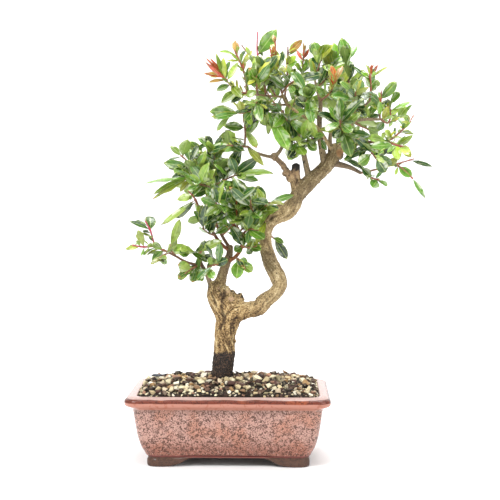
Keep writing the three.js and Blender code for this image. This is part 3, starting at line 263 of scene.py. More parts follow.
# Leafy shoots. A stem's first point is on the limb that carries it.
SHOOTS: dict[str, Shoot] = {
    "far_left_tips": Shoot(
        [[(-62, -19, 212), (-73, -22, 218), (-78, -24, 233), (-83, -26, 243)],
        [(-73, -22.5, 218.5), (-85, -24, 217), (-96, -26, 219)]],
        [(0, 0.76, -98, -35, 243, 5, M), (0, 0.73, -81, -8, 247, 9, M),
        (1, 0.52, -88, -43, 235, 7, Y), (1, 0.67, -103, -25, 215, 4.5, Y),
        (0, 0.1, -77, -25, 202, 7.5, M), (0, 0.1, -76, -25, 221, 6, M)], Twig.PINK,
    ),
    "far_left_heart": Shoot(
        [[(-53.5, -16, 207), (-60, -8, 216), (-54, -4, 225)],
        [(-57.5, -11, 213), (-66, -30, 208), (-71, -40, 203)]],
        [(0, 0.5, -50, -8, 245, 8, M), (1, 0.16, -52, -19, 224, 4, Y),
        (1, 0.64, -77, -35, 200, 7, Y), (1, 0.48, -65, -19, 199, 6, M),
        (1, 0.56, -75, -46, 201, 5.5, Y)],
    ),
    "left_low_fan": Shoot(
        [[(-30, -6, 206), (-36, -14, 212), (-45, -21, 213)],
        [(-33, -9.5, 208.5), (-23, -11, 216), (-15, -14, 220)]],
        [(0, 0.29, -49, -34, 216, 7, M), (1, 0.17, -7, -20, 223, 8, M),
        (0, 0.05, -17, -5, 205, 6, M), (0, 0.67, -48, -34, 210, 8, M),
        (1, 0.21, -24, -15, 224, 6, M)],
    ),
    "left_low_outer": Shoot(
        [[(-28.5, -5, 199), (-37, -14, 195), (-44, -21, 190)]],
        [(0, 0.47, -52, -14, 199, 8, M), (0, 0.45, -52, -9, 184, 7, M),
        (0, 0.33, -37, -26, 182, 6, M), (0, 0.17, -27, -15, 182, 7, M),
        (0, 0.1, -52, -13, 185, 9, M), (0, 0.13, -37, -19, 181, 8, M)],
    ),
    "left_low_inner": Shoot(
        [[(-24, -3, 189.5), (-20, -18, 197), (-10, -27, 200)]],
        [(0, 0.79, 0, -26, 205, 8, M), (0, 0.46, -15, -28, 186, 7, M),
        (0, 0.63, -16, -28, 208, 7, M), (0, 0.82, -23, -42, 219, 7.5, M),
        (0, 0.95, -9, -32, 223, 8, M)],
    ),
    "left_hanging": Shoot(
        [[(5.5, -2, 206.5), (11, -14, 202), (17, -24, 195)]],
        [(0, 0.37, 8, -26, 185, 11, M), (0, 0.67, 23, -22, 192, 8, M),
        (0, 0.37, 19, -13, 201, 7, M), (0, 0.33, 23, -15, 192, 8, M)],
    ),
    "left_fork_leaves": Shoot(
        [[(12.5, -5, 217), (21, -14, 216), (28, -21, 218)]],
        [(0, 0.11, 32, -13, 218, 9, M), (0, 0.37, 23, -14, 210, 7, M), (0, 0.03, 5, -13, 212, 8, M),
        (0, 0.1, 2, -16, 237, 9.5, M), (0, 0.1, 11, 0, 232, 8.5, M), (0, 0.13, 33, -13, 217, 8, Y),
        (0, 0.56, 33, -19, 214, 7, M)],
    ),
    "left_over_trunk": Shoot(
        [[(12, -6, 228), (21, -24, 235), (30, -34, 234)]],
        [(0, 0.57, 36, -38, 225, 12, M), (0, 0.35, 30, -19, 242, 9, M),
        (0, 0.09, 15, -32, 218, 7, M)],
    ),
    "left_right_tip": Shoot(
        [[(10.5, -5.5, 232), (18, -10, 239), (30, -14, 252), (41, -18, 262)],
        [(26, -13, 247.5), (23, -24, 255), (22, -34, 264)]],
        [(0, 0.97, 66, -16, 269, 6, M), (0, 0.66, 49, -35, 255, 8, Y),
        (1, 0.28, 4, -33, 288, 12, M), (0, 0.7, 29, -6, 278, 12, M), (0, 0.25, 12, -26, 252, 9, M),
        (1, 0.1, 33, -19, 234, 7, M)],
    ),
    "left_mid_low": Shoot(
        [[(-15, -2, 228), (-21, -18, 231), (-26, -27, 236)]],
        [(0, 0.26, -28, -31, 238, 8, M), (0, 0.52, -17, -20, 243, 8, M),
        (0, 0.09, -2, 6, 237, 8, M), (0, 0.95, -26, -28, 259, 8, M)],
    ),
    "left_outer_tip": Shoot(
        [[(-30.5, -14, 257), (-35, -21, 267), (-40, -27, 273)]],
        [(0, 0.42, -69, -24, 238, 5, M), (0, 0.3, -54, -21, 247, 7, M),
        (0, 0.67, -51, -32, 264, 7, M), (0, 0.17, -25, -18, 248, 7, Y),
        (0, 0.38, -66, -35, 239, 5.5, M)], Twig.RED,
    ),
    "left_mid_front": Shoot(
        [[(-1.5, 0.5, 248.5), (-5, -18, 254), (-12, -34, 261)]],
        [(0, 0.28, -23, -10, 245, 8, M), (0, 0.6, 0, -40, 274, 9, M), (0, 0.8, -28, -32, 266, 9, M),
        (0, 0.1, 7, -18, 242, 8, M), (0, 0.95, -15, -43, 277, 8, M)],
    ),
    "left_mid_right": Shoot(
        [[(8, -5, 235), (8, -18, 250), (8, -27, 264)]],
        [(0, 0.43, -4, -31, 259, 9, M), (0, 0.7, 19, -23, 268, 10, M),
        (0, 0.91, -2, -38, 278, 9, M), (0, 0.24, 20, -13, 248, 8, M)], Twig.ORANGE_BROWN,
    ),
    "left_heart": Shoot(
        [[(-14.5, 6, 272.5), (-21, -11, 277), (-29, -30, 280)]],
        [(0, 0.4, -39, -12, 268, 9, M), (0, 0.61, -12, -38, 294, 10, M),
        (0, 0.84, -44, -25, 288, 9, M)],
    ),
    "left_long_leaves": Shoot(
        [[(-18, 6, 284.5), (-30, -4, 287), (-43, -11, 287)],
        [(-27, -2, 286.5), (-38, -6, 299), (-49, -11, 309)]],
        [(0, 0.85, -84, -28, 280, 6.5, M), (0, 0.93, -75, -16, 270, 6, Y),
        (1, 0.31, -66, -20, 301, 8, M), (1, 0.95, -59, -9, 318, 6, M), (1, 0.88, -50, 2, 320, 5, M),
        (0, 0.9, -77, -22, 264, 6.5, Y)],
    ),
    "left_pad_top": Shoot(
        [[(-18, 6, 284.5), (-15, 10, 302), (-17, 15, 317)],
        [(-16, 9, 296.5), (-26, 20, 308), (-37, 26, 316)]],
        [(0, 0.74, 2, 10, 325, 9, M), (0, 0.93, -25, 2, 328, 9, M), (1, 0.77, -48, 24, 318, 8, M),
        (1, 0.55, -42, 20, 302, 9, M), (0, 0.62, 0, -1, 300, 9, M), (0, 0.98, -3, 25, 336, 6, M),
        (1, 0.64, -42, 16, 324, 7.5, M), (0, 0.95, -29, 9, 326, 6, M)],
    ),
    "left_pad_right": Shoot(
        [[(-16, 6, 277), (-3, 0, 285), (10, -6, 290)]],
        [(0, 0.88, 46, -23, 290, 8, M), (0, 0.72, 29, -7, 307, 10, M), (0, 0.4, 17, -2, 274, 9, M),
        (0, 0.48, -11, -7, 298, 9, M), (0, 0.92, 0, -8, 308, 8.5, M)],
    ),
    "left_back_top": Shoot(
        [[(-26, 35.5, 265.5), (-24, 40, 282), (-20, 42, 298)],
        [(-25, 38, 274), (-36, 47, 278), (-46, 52, 280)]],
        [(0, 0.64, -38, 49, 295, 9, M), (0, 0.9, -10, 56, 308, 9, M), (1, 0.57, -51, 49, 272, 9, M),
        (0, 0.31, -15, 51, 282, 9, M), (1, 0.76, -48, 52, 293, 8, M),
        (0, 0.79, -14, 50, 276, 9, M)],
    ),
    "left_back_low": Shoot(
        [[(-14.5, 25, 237.5), (-24, 38, 242), (-36, 45, 248)]],
        [(0, 0.54, -17, 54, 255, 9, M), (0, 0.79, -46, 46, 240, 8, M),
        (0, 0.95, -40, 54, 260, 8, M)],
    ),
    "left_back_right": Shoot(
        [[(-8.5, 19, 227), (5, 31, 240), (16, 38, 255)]],
        [(0, 0.54, -5, 36, 251, 9, M), (0, 0.77, 24, 45, 251, 9, M), (0, 0.93, 9, 39, 268, 8, M)],
    ),
    "crown_left_low": Shoot(
        [[(41, -21, 358.5), (30, -27, 353), (18, -30, 350), (2, -35, 350)],
        [(37.5, -23, 356.5), (32, -37, 357), (28, -46, 359)]],
        [(0, 0.81, -18, -38, 351, 11, M), (0, 0.76, -16, -42, 345, 4, Y),
        (0, 0.72, 11, -32, 362, 8, Y), (0, 0.35, 34, -52, 362, 9, M), (0, 0.49, 16, -34, 342, 7, M),
        (1, 0.12, 59, -50, 312, 13, M), (1, 0.95, 34, -66, 338, 8.5, M),
        (0, 0.9, -18, -43, 350, 9, M), (0, 0.77, -14, -53, 343, 6, M)],
    ),
    "crown_left_twig": Shoot(
        [[(19, -6, 317.5), (9, -8, 318), (-2, -11, 319)],
        [(16, -6.5, 317.5), (16, -7, 334), (14, -10, 349)]],
        [(1, 0.52, 28, -22, 315, 7, M), (0, 0.42, 2, -8, 314, 6, M), (1, 0.83, 23, -13, 354, 7, M),
        (0, 0.76, 14, -15, 313, 6, M), (1, 0.59, -6, -15, 338, 8.5, M),
        (0, 0.1, 35, -11, 298, 7, Y), (0, 0.23, -5, -12, 312, 5.5, M),
        (0, 0.38, -1, -13, 323, 5, M), (1, 0.82, 39, -14, 346, 6, M)],
    ),
    "crown_left_red": Shoot(
        [[(25, -15.5, 369), (10, -18, 372), (-1, -21, 381), (-9, -22, 390)],
        [(17.5, -16.5, 370.5), (17, -19, 383), (12, -21, 399), (6, -22, 412)]],
        [(0, 0.99, -20, -18, 399, 6, R), (0, 0.97, -12, -30, 408, 4, Y),
        (0, 0.93, -6, -12, 405, 5, Y), (1, 0.93, 6, -9, 423, 5, R), (1, 0.73, 0, -31, 410, 4.5, Y),
        (1, 0.61, 23, -7, 414, 5, Y), (0, 0.59, 15, -39, 363, 8, Y),
        (0, 0.77, -23, -36, 400, 3.6, R), (0, 0.74, -19, -24, 405, 3.4, R),
        (0, 0.87, -12, -34, 407, 5, Y), (0, 0.79, -5, -26, 405, 5, Y),
        (0, 0.41, -7, -34, 359, 8, M), (1, 0.85, -9, -27, 410, 4, Y),
        (0, 0.79, -23, -26, 405, 3.6, R), (0, 0.85, -24, -26, 389, 3.4, O),
        (0, 0.77, -20, -26, 380, 4, R), (0, 0.62, -12, -25, 372, 6, M),
        (0, 0.74, 10, -26, 400, 5.5, M), (0, 0.21, 2, -22, 360, 6, M),
        (1, 0.15, 20, -23, 396, 7, M)], Twig.RED,
    ),
    "crown_left_glossy": Shoot(
        [[(29, -15, 368.5), (28, -34, 376), (28, -46, 384)]],
        [(0, 0.45, 21, -54, 392, 12, M), (0, 0.61, 37, -36, 393, 12, M),
        (0, 0.31, 18, -25, 366, 8, Y)],
    ),
    "crown_left_long": Shoot(
        [[(37, -13, 368), (34, -18, 387), (23, -21, 404), (13, -22, 417)]],
        [(0, 0.28, 28, -28, 407, 11, M), (0, 0.17, 52, -15, 387, 11, M),
        (0, 0.77, 17, -21, 416, 4, Y)],
    ),
    "crown_pink": Shoot(
        [[(47, -11, 367.5), (35, 6, 390), (28, 15, 412), (28, 20, 436)]],
        [(0, 0.69, 48, 20, 439, 12.5, M), (0, 0.51, 43, 1, 407, 8, Y),
        (0, 0.31, 51, 0, 377, 8, M)], Twig.PINK,
    ),
    "crown_mid_red": Shoot(
        [[(53, -9.5, 371), (48, -8, 392), (46, -8, 426)]],
        [(0, 0.57, 44, -14, 418, 5, O), (0, 0.88, 44, -1, 430, 4, R), (0, 0.45, 41, -21, 402, 6, Y),
        (0, 0.31, 57, -8, 396, 7, Y), (0, 0.41, 54, -13, 413, 6.5, M),
        (0, 0.56, 35, -13, 403, 7, M)], Twig.RED,
    ),
    "crown_mid_brown": Shoot(
        [[(56, 10.5, 369.5), (58, 13, 384), (59, 8, 402), (59, 6, 419)]],
        [(0, 0.9, 73, 12, 426, 6, Y), (0, 0.66, 67, 1, 409, 6, Y), (0, 0.46, 49, 21, 401, 6, Y),
        (0, 0.85, 73, 2, 425, 6.5, O), (0, 0.59, 69, 4, 404, 6, M)], Twig.BROWN,
    ),
    "crown_mid_right": Shoot(
        [[(62, 10, 355.5), (71, 20, 378), (76, 22, 418)]],
        [(0, 0.88, 77, 17, 419, 4, R), (0, 0.82, 68, 26, 418, 3, R), (0, 0.64, 63, 8, 404, 7, Y),
        (0, 0.52, 82, 16, 394, 7, Y), (0, 0.85, 81, 21, 419, 3.4, R), (0, 0.62, 82, 16, 407, 6, M)],
    ),
    "crown_top": Shoot(
        [[(86.5, 2, 386), (90, 8, 398), (94, 13, 410)]],
        [(0, 0.82, 83, 22, 425, 12, M), (0, 0.95, 100, -1, 420, 13.5, Y),
        (0, 0.57, 79, 6, 405, 11, M), (0, 0.32, 100, 6, 391, 8, M), (0, 0.82, 85, 6, 424, 9, M)],
    ),
    "crown_top_right": Shoot(
        [[(88.5, 3, 377), (100, 15, 390), (110, 24, 407)]],
        [(0, 0.85, 103, 11, 412, 9, Y), (0, 0.95, 116, 20, 403, 9, M), (0, 0.49, 90, 15, 383, 8, M),
        (0, 0.65, 115, 20, 391, 7, M), (0, 0.95, 106, 19, 425, 8, M)],
    ),
    "crown_peak": Shoot(
        [[(123.5, -6, 368.5), (120, 0, 385), (120, 4, 405)]],
        [(0, 1, 113, 4, 428, 11, M), (0, 0.97, 129, 16, 420, 6.5, M), (0, 0.73, 113, -5, 380, 7, Y),
        (0, 0.35, 111, -4, 370, 8, M), (0, 0.95, 112, -2, 427, 10.5, M)],
    ),
    "crown_orange": Shoot(
        [[(92, 3, 364), (101, -14, 371), (106, -24, 382)]],
        [(0, 0.98, 102, -16, 398, 7, O), (0, 0.98, 113, -24, 396, 6, O),
        (0, 0.58, 111, -16, 373, 8, M), (0, 0.32, 86, -23, 375, 9, M)], Twig.ORANGE_BROWN,
    ),
    "crown_right_red": Shoot(
        [[(141.5, -1, 364), (142, -8, 376), (140, -18, 389)]],
        [(0, 0.45, 135, -18, 387, 9, M), (0, 0.39, 150, 0, 384, 7, M),
        (0, 0.97, 142, -24, 398, 3.5, R), (0, 0.89, 149, -5, 399, 3, R),
        (0, 0.89, 135, -30, 397, 3.5, Y), (0, 0.81, 161, -6, 398, 2.5, Y),
        (0, 0.75, 124, -6, 398, 3, M), (0, 0.31, 148, -11, 380, 5, M)], Twig.RED,
    ),
    "crown_right_up": Shoot(
        [[(127, -8, 356), (125, -21, 363), (126, -27, 371)]],
        [(0, 0.92, 132, -23, 383, 9, M), (0, 0.73, 116, -39, 371, 8, M),
        (0, 0.63, 135, -21, 359, 8, M), (0, 0.79, 137, -38, 374, 7, Y),
        (0, 0.1, 137, -13, 358, 7, M)],
    ),
    "crown_right_mid": Shoot(
        [[(152, 0, 345.5), (152, 6, 357), (154, 10, 370)]],
        [(0, 0.92, 168, 3, 384, 7.5, M), (0, 0.55, 153, 9, 371, 3.5, R),
        (0, 0.68, 140, -3, 371, 8, M), (0, 0.38, 161, 12, 366, 7, M), (0, 0.21, 141, 5, 344, 7, M),
        (0, 0.82, 169, 4, 383, 8.5, M), (0, 0.85, 143, 15, 352, 8, M)], Twig.RED,
    ),
    "crown_right_fork": Shoot(
        [[(152, 0, 345.5), (161, 8, 342), (164, 15, 354), (162, 17, 362)],
        [(161, 8.5, 342.5), (171, 17, 346), (179, 24, 354)]],
        [(1, 0.55, 181, 20, 360, 8, M), (1, 0.93, 186, 15, 361, 3, M),
        (0, 0.81, 159, 14, 366, 6, Y), (0, 0.61, 172, 15, 358, 6, Y), (0, 0.53, 155, 7, 357, 6, Y),
        (0, 0.18, 150, 1, 334, 7, M), (0, 0.95, 173, 13, 374, 7.5, M),
        (1, 0.92, 184, 30, 342, 7.5, M), (0, 0.79, 184, 10, 363, 4, M),
        (0, 0.1, 160, -5, 358, 6, Y)], Twig.RED,
    ),
    "crown_right_tips": Shoot(
        [[(151, -14.5, 322.5), (161, -14, 324), (171, -18, 332), (181, -21, 342)],
        [(157, -14.5, 323.5), (164, -24, 319), (173, -30, 316)]],
        [(0, 0.56, 183, -35, 328, 6, M), (0, 0.74, 171, -9, 346, 6, M),
        (1, 0.81, 181, -18, 310, 8, Y), (1, 0.62, 167, -38, 303, 9, Y),
        (1, 0.39, 158, -20, 309, 8, M), (0, 0.34, 154, -28, 332, 7, M),
        (1, 0.67, 179, -43, 327, 7, Y), (1, 0.9, 175, -51, 307, 8, M),
        (1, 0.1, 136, -23, 326, 9, M), (1, 0.54, 138, -29, 316, 8.5, M),
        (1, 0.85, 180, -33, 306, 7, Y), (0, 0.64, 183, -23, 329, 5, Y)], Twig.RED,
    ),
    "crown_right_low_tip": Shoot(
        [[(132.5, -6, 291), (150, -8, 295), (165, -11, 299), (185, -14, 305)],
        [(137.5, -6.5, 292), (143, -14, 286), (150, -19, 284)],
        [(167, -11, 299.5), (176, -14, 293), (183.5, -18, 285)]],
        [(0, 0.92, 204, -14, 297, 4, M), (2, 0.1, 182, -17, 287, 8.5, M),
        (2, 0.95, 195.5, -24, 265, 4.5, M), (1, 1, 158, -18, 278, 4, M),
        (1, 0.89, 142, -31, 276, 9, M), (1, 0.55, 133, -14, 296, 7, M),
        (0, 0.46, 169, -14, 306, 7, Y), (1, 0.1, 114, -12, 306, 6, M),
        (0, 0.64, 147, -16, 306, 8, M)], Twig.RED,
    ),
    "crown_right_drop": Shoot(
        [[(137, -11, 321), (141, -24, 312), (147, -34, 303)]],
        [(0, 0.88, 156, -28, 291, 11, M), (0, 0.62, 128, -42, 299, 9, M),
        (0, 0.78, 159, -15, 315, 8, M), (0, 0.21, 128, -32, 311, 8, M),
        (0, 0.13, 114, -26, 302, 8.5, M)],
    ),
    "crown_front": Shoot(
        [[(116.5, -6, 326), (112, -30, 333), (109, -50, 341)]],
        [(0, 0.68, 85, -52, 348, 9, M), (0, 0.55, 90, -38, 333, 6.5, Y),
        (0, 0.82, 132, -58, 362, 9.5, M), (0, 0.46, 121, -30, 307, 11, M),
        (0, 0.86, 120, -71, 328, 8, M), (0, 0.95, 105, -49, 355, 8, M),
        (0, 0.95, 94, -66, 329, 9.5, M), (0, 0.95, 106, -66, 362, 9, M),
        (0, 0.59, 103, -37, 324, 8, M), (0, 0.26, 142, -22, 327, 9, M)],
    ),
    "crown_fork_front": Shoot(
        [[(72.5, 4.5, 320.5), (68, -8, 320), (65, -18, 321)]],
        [(0, 0.56, 59, -10, 306, 10, M), (0, 0.85, 75, -33, 308, 9, M),
        (0, 0.1, 59, -2, 304, 11, M)],
    ),
    "crown_fork_right": Shoot(
        [[(92, -0.5, 326.5), (84, -14, 325), (76, -24, 322)]],
        [(0, 0.78, 70, -35, 317, 10, M), (0, 0.89, 87, -25, 313, 8, M),
        (0, 0.55, 95, -38, 327, 8, M), (0, 0.1, 98, -6, 314, 5.5, M)],
    ),
    "crown_heart_left": Shoot(
        [[(60, 5, 337), (56, -8, 346), (54, -24, 353)]],
        [(0, 0.61, 60, -18, 312, 11, M), (0, 0.79, 44, -42, 335, 9, M),
        (0, 0.39, 69, -4, 326, 10, M), (0, 0.92, 41, -18, 358, 8, M)],
    ),
    "crown_heart": Shoot(
        [[(79, -16, 343.5), (77, -34, 356), (78, -46, 367)]],
        [(0, 0.72, 87, -59, 370, 9, M), (0, 0.48, 67, -39, 364, 9, M),
        (0, 0.89, 71, -37, 375, 8, M), (0, 0.4, 88, -44, 350, 8, M), (0, 0.95, 83, -64, 375, 9, M),
        (0, 0.9, 83, -58, 337, 9, M), (0, 0.1, 74, -23, 325, 10, M), (0, 0.1, 87, -21, 324, 8, M)],
    ),
    "crown_heart_top": Shoot(
        [[(53, -9.5, 371), (60, -24, 378), (69, -34, 383)]],
        [(0, 0.71, 93, -35, 387, 8, M), (0, 0.6, 72, -25, 370, 8, M), (0, 0.89, 61, -41, 392, 8, Y),
        (0, 0.31, 47, -19, 381, 8, M), (0, 0.95, 56, -48, 394, 9, M)],
    ),
    "crown_back_top": Shoot(
        [[(113, 41.5, 360.5), (110, 49, 377), (104, 52, 393)],
        [(111, 46, 370.5), (122, 47, 379), (131, 47, 388)]],
        [(0, 0.83, 96, 65, 395, 9, M), (0, 0.93, 113, 54, 404, 9, M), (1, 0.95, 140, 58, 394, 8, M),
        (1, 0.65, 118, 49, 392, 8, M), (0, 0.52, 98, 63, 372, 9, M)],
    ),
    "crown_back_right": Shoot(
        [[(108.5, 35.5, 349), (127, 49, 355), (143, 56, 364)],
        [(121, 45, 353), (133, 49, 343), (146, 52, 337)]],
        [(0, 0.95, 153, 58, 371, 8, M), (0, 0.73, 128, 62, 372, 9, M),
        (1, 0.93, 155, 51, 331, 8, M), (1, 0.6, 128, 64, 334, 9, M), (0, 0.41, 114, 45, 360, 9, M),
        (0, 0.95, 128, 63, 370, 9, M), (0, 0.1, 99, 30, 368, 10, M), (1, 0.95, 160, 47, 345, 6, M)],
    ),
    "crown_back_left": Shoot(
        [[(53, 41.5, 355.5), (42, 52, 370), (33, 56, 384)],
        [(47, 47, 363), (36, 54, 356), (26, 59, 352)]],
        [(0, 0.93, 26, 66, 393, 9, M), (0, 0.8, 47, 56, 386, 9, M), (1, 0.91, 17, 69, 364, 8, M),
        (1, 0.73, 36, 52, 342, 8, M), (0, 0.5, 32, 61, 372, 8, M), (0, 0.9, 53, 58, 416, 8, M)],
    ),
    "crown_back_mid": Shoot(
        [[(59.5, 35.5, 341.5), (72, 52, 356), (81, 61, 373)]],
        [(0, 0.91, 70, 61, 380, 9, M), (0, 0.8, 90, 71, 370, 9, M), (0, 0.47, 60, 46, 364, 9, M),
        (0, 0.59, 83, 61, 348, 9, M), (0, 0.95, 105, 69, 371, 10, M),
        (0, 0.92, 96, 71, 347, 10, M)],
    ),
    "trunk_sprout": Shoot(
        [[(37, 8, 227), (41, 17, 227), (46, 20, 223)]],
        [(0, 0.95, 59, 21, 202, 8.5, M), (0, 0.8, 55, 16, 219, 5, M), (0, 0.55, 36, 26, 213, 7, M)],
    ),
}


# ---------------------------------------------------------------------------------------------
# Meshes
# ---------------------------------------------------------------------------------------------


@dataclass(frozen=True)
class PotPlace:
    """Turns millimetres from the middle of the pot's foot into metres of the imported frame."""

    middle_x: float
    middle_y: float

    @classmethod
    def of_packed_pot(cls) -> "PotPlace":
        """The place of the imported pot."""
        low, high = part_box("pot")
        return cls((low[0] + high[0]) / 2, (low[1] + high[1]) / 2)

    def metres(self, places: np.ndarray) -> np.ndarray:
        """Places in millimetres from the pot's middle, as metres of the frame."""
        return np.asarray(places, float) * MM + (self.middle_x, self.middle_y, 0)

    def millimetres(self, places: np.ndarray) -> np.ndarray:
        """Places in metres of the frame, as millimetres from the pot's middle."""
        return (np.asarray(places, float) - (self.middle_x, self.middle_y, 0)) / MM


def mark(mesh: bpy.types.Mesh, name: str, values: np.ndarray) -> None:
    """Stores one value a vertex on a mesh.

    Args:
        mesh: the mesh.
        name: the attribute's name, which materials and node trees read.
        values: whole numbers, numbers, rows of three or rows of four (a linear colour).
    """
    if values.ndim == 2:
        kind, key = ("FLOAT_VECTOR", "vector") if values.shape[1] == 3 else ("FLOAT_COLOR", "color")
    else:
        kind, key = ("INT" if values.dtype.kind == "i" else "FLOAT"), "value"
    mesh.attributes.new(name, kind, "POINT").data.foreach_set(key, values.ravel())


class Shape:
    """Closed surfaces gathered in millimetres for one mesh, with values marked on their vertices."""

    def __init__(self) -> None:
        """Starts with no surface."""
        self.places: list[np.ndarray] = []
        self.faces: list[tuple[int, ...]] = []
        self.marks: dict[str, list[np.ndarray]] = {}
        self.count = 0

    def add(self, places: np.ndarray, faces: Iterable[Sequence[int]], **marks: np.ndarray) -> None:
        """Adds one closed surface.

        Args:
            places: its vertices in millimetres.
            faces: its faces as vertex numbers, counter-clockwise from outside.
            marks: values for its vertices. Every surface of a shape gives the same ones.
        """
        self.places.append(places)
        self.faces.extend(tuple(self.count + i for i in face) for face in faces)
        self.count += len(places)
        for name, values in marks.items():
            self.marks.setdefault(name, []).append(values)

    def mesh(self, name: str, place: PotPlace | None = None) -> bpy.types.Mesh:
        """Joins the gathered surfaces.

        Args:
            name: the mesh's name.
            place: turns its millimetres into the frame's metres, or None to keep its numbers.

        Returns:
            One smooth-shaded mesh.
        """
        places = np.vstack(self.places)
        mesh = bpy.data.meshes.new(name)
        mesh.from_pydata((place.metres(places) if place else places).tolist(), [], self.faces)
        mesh.polygons.foreach_set("use_smooth", [True] * len(mesh.polygons))
        for key, values in self.marks.items():
            mark(mesh, key, np.concatenate(values))
        return mesh


def shown(name: str, mesh: bpy.types.Mesh, *materials: bpy.types.Material) -> bpy.types.Object:
    """Stands a mesh in the scene.

    Args:
        name: the new object's name.
        mesh: the mesh.
        materials: what it is made of.

    Returns:
        The new object.
    """
    piece = bpy.data.objects.new(name, mesh)
    bpy.context.scene.collection.objects.link(piece)
    for material in materials:
        mesh.materials.append(material)
    return piece


def settle(piece: bpy.types.Object) -> bpy.types.Object:
    """Turns what a piece's modifiers make into its plain mesh, and takes the modifiers off.

    Args:
        piece: the piece with its modifiers.

    Returns:
        The same piece.
    """
    graph = bpy.context.evaluated_depsgraph_get()
    seen = piece.evaluated_get(graph)
    made = bpy.data.meshes.new_from_object(seen, preserve_all_data_layers=True, depsgraph=graph)
    piece.modifiers.clear()
    old, piece.data = piece.data, made
    bpy.data.meshes.remove(old)
    return piece


def dress(piece: bpy.types.Object, material: bpy.types.Material) -> None:
    """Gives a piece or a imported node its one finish.

    Args:
        piece: the piece or node.
        material: what it is made of.
    """
    piece.data.materials.clear()
    piece.data.materials.append(material)
    log.info("%s: dressed in %s", piece.name, material.name)


def hand_over(piece: bpy.types.Object, node: str = "") -> None:
    """Lets a finished piece ride on the body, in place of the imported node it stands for.

    Args:
        piece: the piece.
        node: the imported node, or nothing where that one stays in sight.
    """
    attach(piece, BODY)
    if node:
        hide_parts(node)
    log.info("%s: %d faces, stands for %s", piece.name, len(piece.data.polygons), node or "itself")


def unit(vector: np.ndarray) -> np.ndarray:
    """A vector, or each row of several, at length 1."""
    return vector / np.maximum(np.linalg.norm(vector, axis=-1, keepdims=True), 1e-12)


def smooth_step(low: float, high: float, value: np.ndarray) -> np.ndarray:
    """0 below low, 1 above high and an even rise between, for numbers or arrays."""
    share = np.clip((value - low) / (high - low), 0, 1)
    return share * share * (3 - 2 * share)


def shaken(draw: random.Random, *axes: Pair) -> np.ndarray:
    """A random vector, each axis drawn round its mean with its spread."""
    return np.array([draw.gauss(mean, spread) for mean, spread in axes])


def circle(count: int) -> tuple[np.ndarray, np.ndarray]:
    """The cosines and sines of evenly spaced places round a circle."""
    turn = np.arange(count) * 2 * math.pi / count
    return np.cos(turn), np.sin(turn)


def smooth_rows(rows: Sequence[Sequence[float]], step: float) -> np.ndarray:
    """Rows along a smooth line that passes through the given ones.

    Args:
        rows: the line's points, with any further columns carried along, such as a radius.
        step: about how far apart the new rows stand, in millimetres.

    Returns:
        The new rows, the first and last of which are the given ones.
    """
    points = np.array(rows, float)
    padded = np.vstack([2 * points[0] - points[1], points, 2 * points[-1] - points[-2]])
    made = []
    for i in range(len(points) - 1):
        a, b, c, d = padded[i : i + 4]
        gaps = [max(np.linalg.norm((q - p)[:3]), 1e-6) ** 0.5 for p, q in ((a, b), (b, c), (c, d))]
        t0, t1, t2, t3 = np.cumsum([0, *gaps])
        count = max(2, math.ceil(np.linalg.norm((c - b)[:3]) / step))
        t = (t1 + (t2 - t1) * np.arange(count) / count)[:, None]
        ab = a + (b - a) * (t - t0) / (t1 - t0)
        bc = b + (c - b) * (t - t1) / (t2 - t1)
        cd = c + (d - c) * (t - t2) / (t3 - t2)
        abc = ab + (bc - ab) * (t - t0) / (t2 - t0)
        bcd = bc + (cd - bc) * (t - t1) / (t3 - t1)
        made.append(abc + (bcd - abc) * (t - t1) / (t2 - t1))
    return np.vstack([*made, points[-1:]])


def lengths_along(line: np.ndarray) -> np.ndarray:
    """How far along a line each of its points is."""
    return np.concatenate([[0], np.cumsum(np.linalg.norm(np.diff(line[:, :3], axis=0), axis=1))])


def carried_frames(line: np.ndarray) -> tuple[np.ndarray, np.ndarray, np.ndarray]:
    """The directions along and across a line.

    Args:
        line: points.

    Returns:
        For each point, the direction along the line and two across it that turn as little as
        possible from point to point.
    """
    along = unit(np.gradient(line, axis=0))
    side = np.cross(along[0], (0, 1, 0) if abs(along[0][1]) < 0.9 else (1, 0, 0))
    across = []
    for direction in along:
        side = unit(side - direction * np.dot(side, direction))
        across.append(side)
    across = np.array(across)
    return along, across, np.cross(along, across)


def ring_faces(rings: int, count: int) -> list[tuple[int, ...]]:
    """Faces through rings of vertices, closed by a fan at each end.

    Args:
        rings: how many rings there are.
        count: how many vertices each has. The two vertices after the last ring are the ends.

    Returns:
        The faces, which look outwards where a ring is counter-clockwise seen from the last end.
    """
    around = [(j, (j + 1) % count) for j in range(count)]
    starts = range(0, (rings - 1) * count, count)
    faces = [(i + j, i + k, i + count + k, i + count + j) for i in starts for j, k in around]
    top, first, last = (rings - 1) * count, rings * count, rings * count + 1
    for j, k in around:
        faces += [(first, k, j), (last, top + j, top + k)]
    return faces


def lofted(
    rings: Sequence[np.ndarray], ends: Sequence[np.ndarray] | None = None
) -> tuple[np.ndarray, list[tuple[int, ...]]]:
    """A closed surface through rings of equally many points.

    Args:
        rings: the rings, each counter-clockwise seen from the last one's end.
        ends: the points that close the first and last ring, or None for the rings' middles.

    Returns:
        Its vertices and faces.
    """
    ends = [rings[0].mean(0), rings[-1].mean(0)] if ends is None else ends
    return np.vstack([*rings, *ends]), ring_faces(len(rings), len(rings[0]))


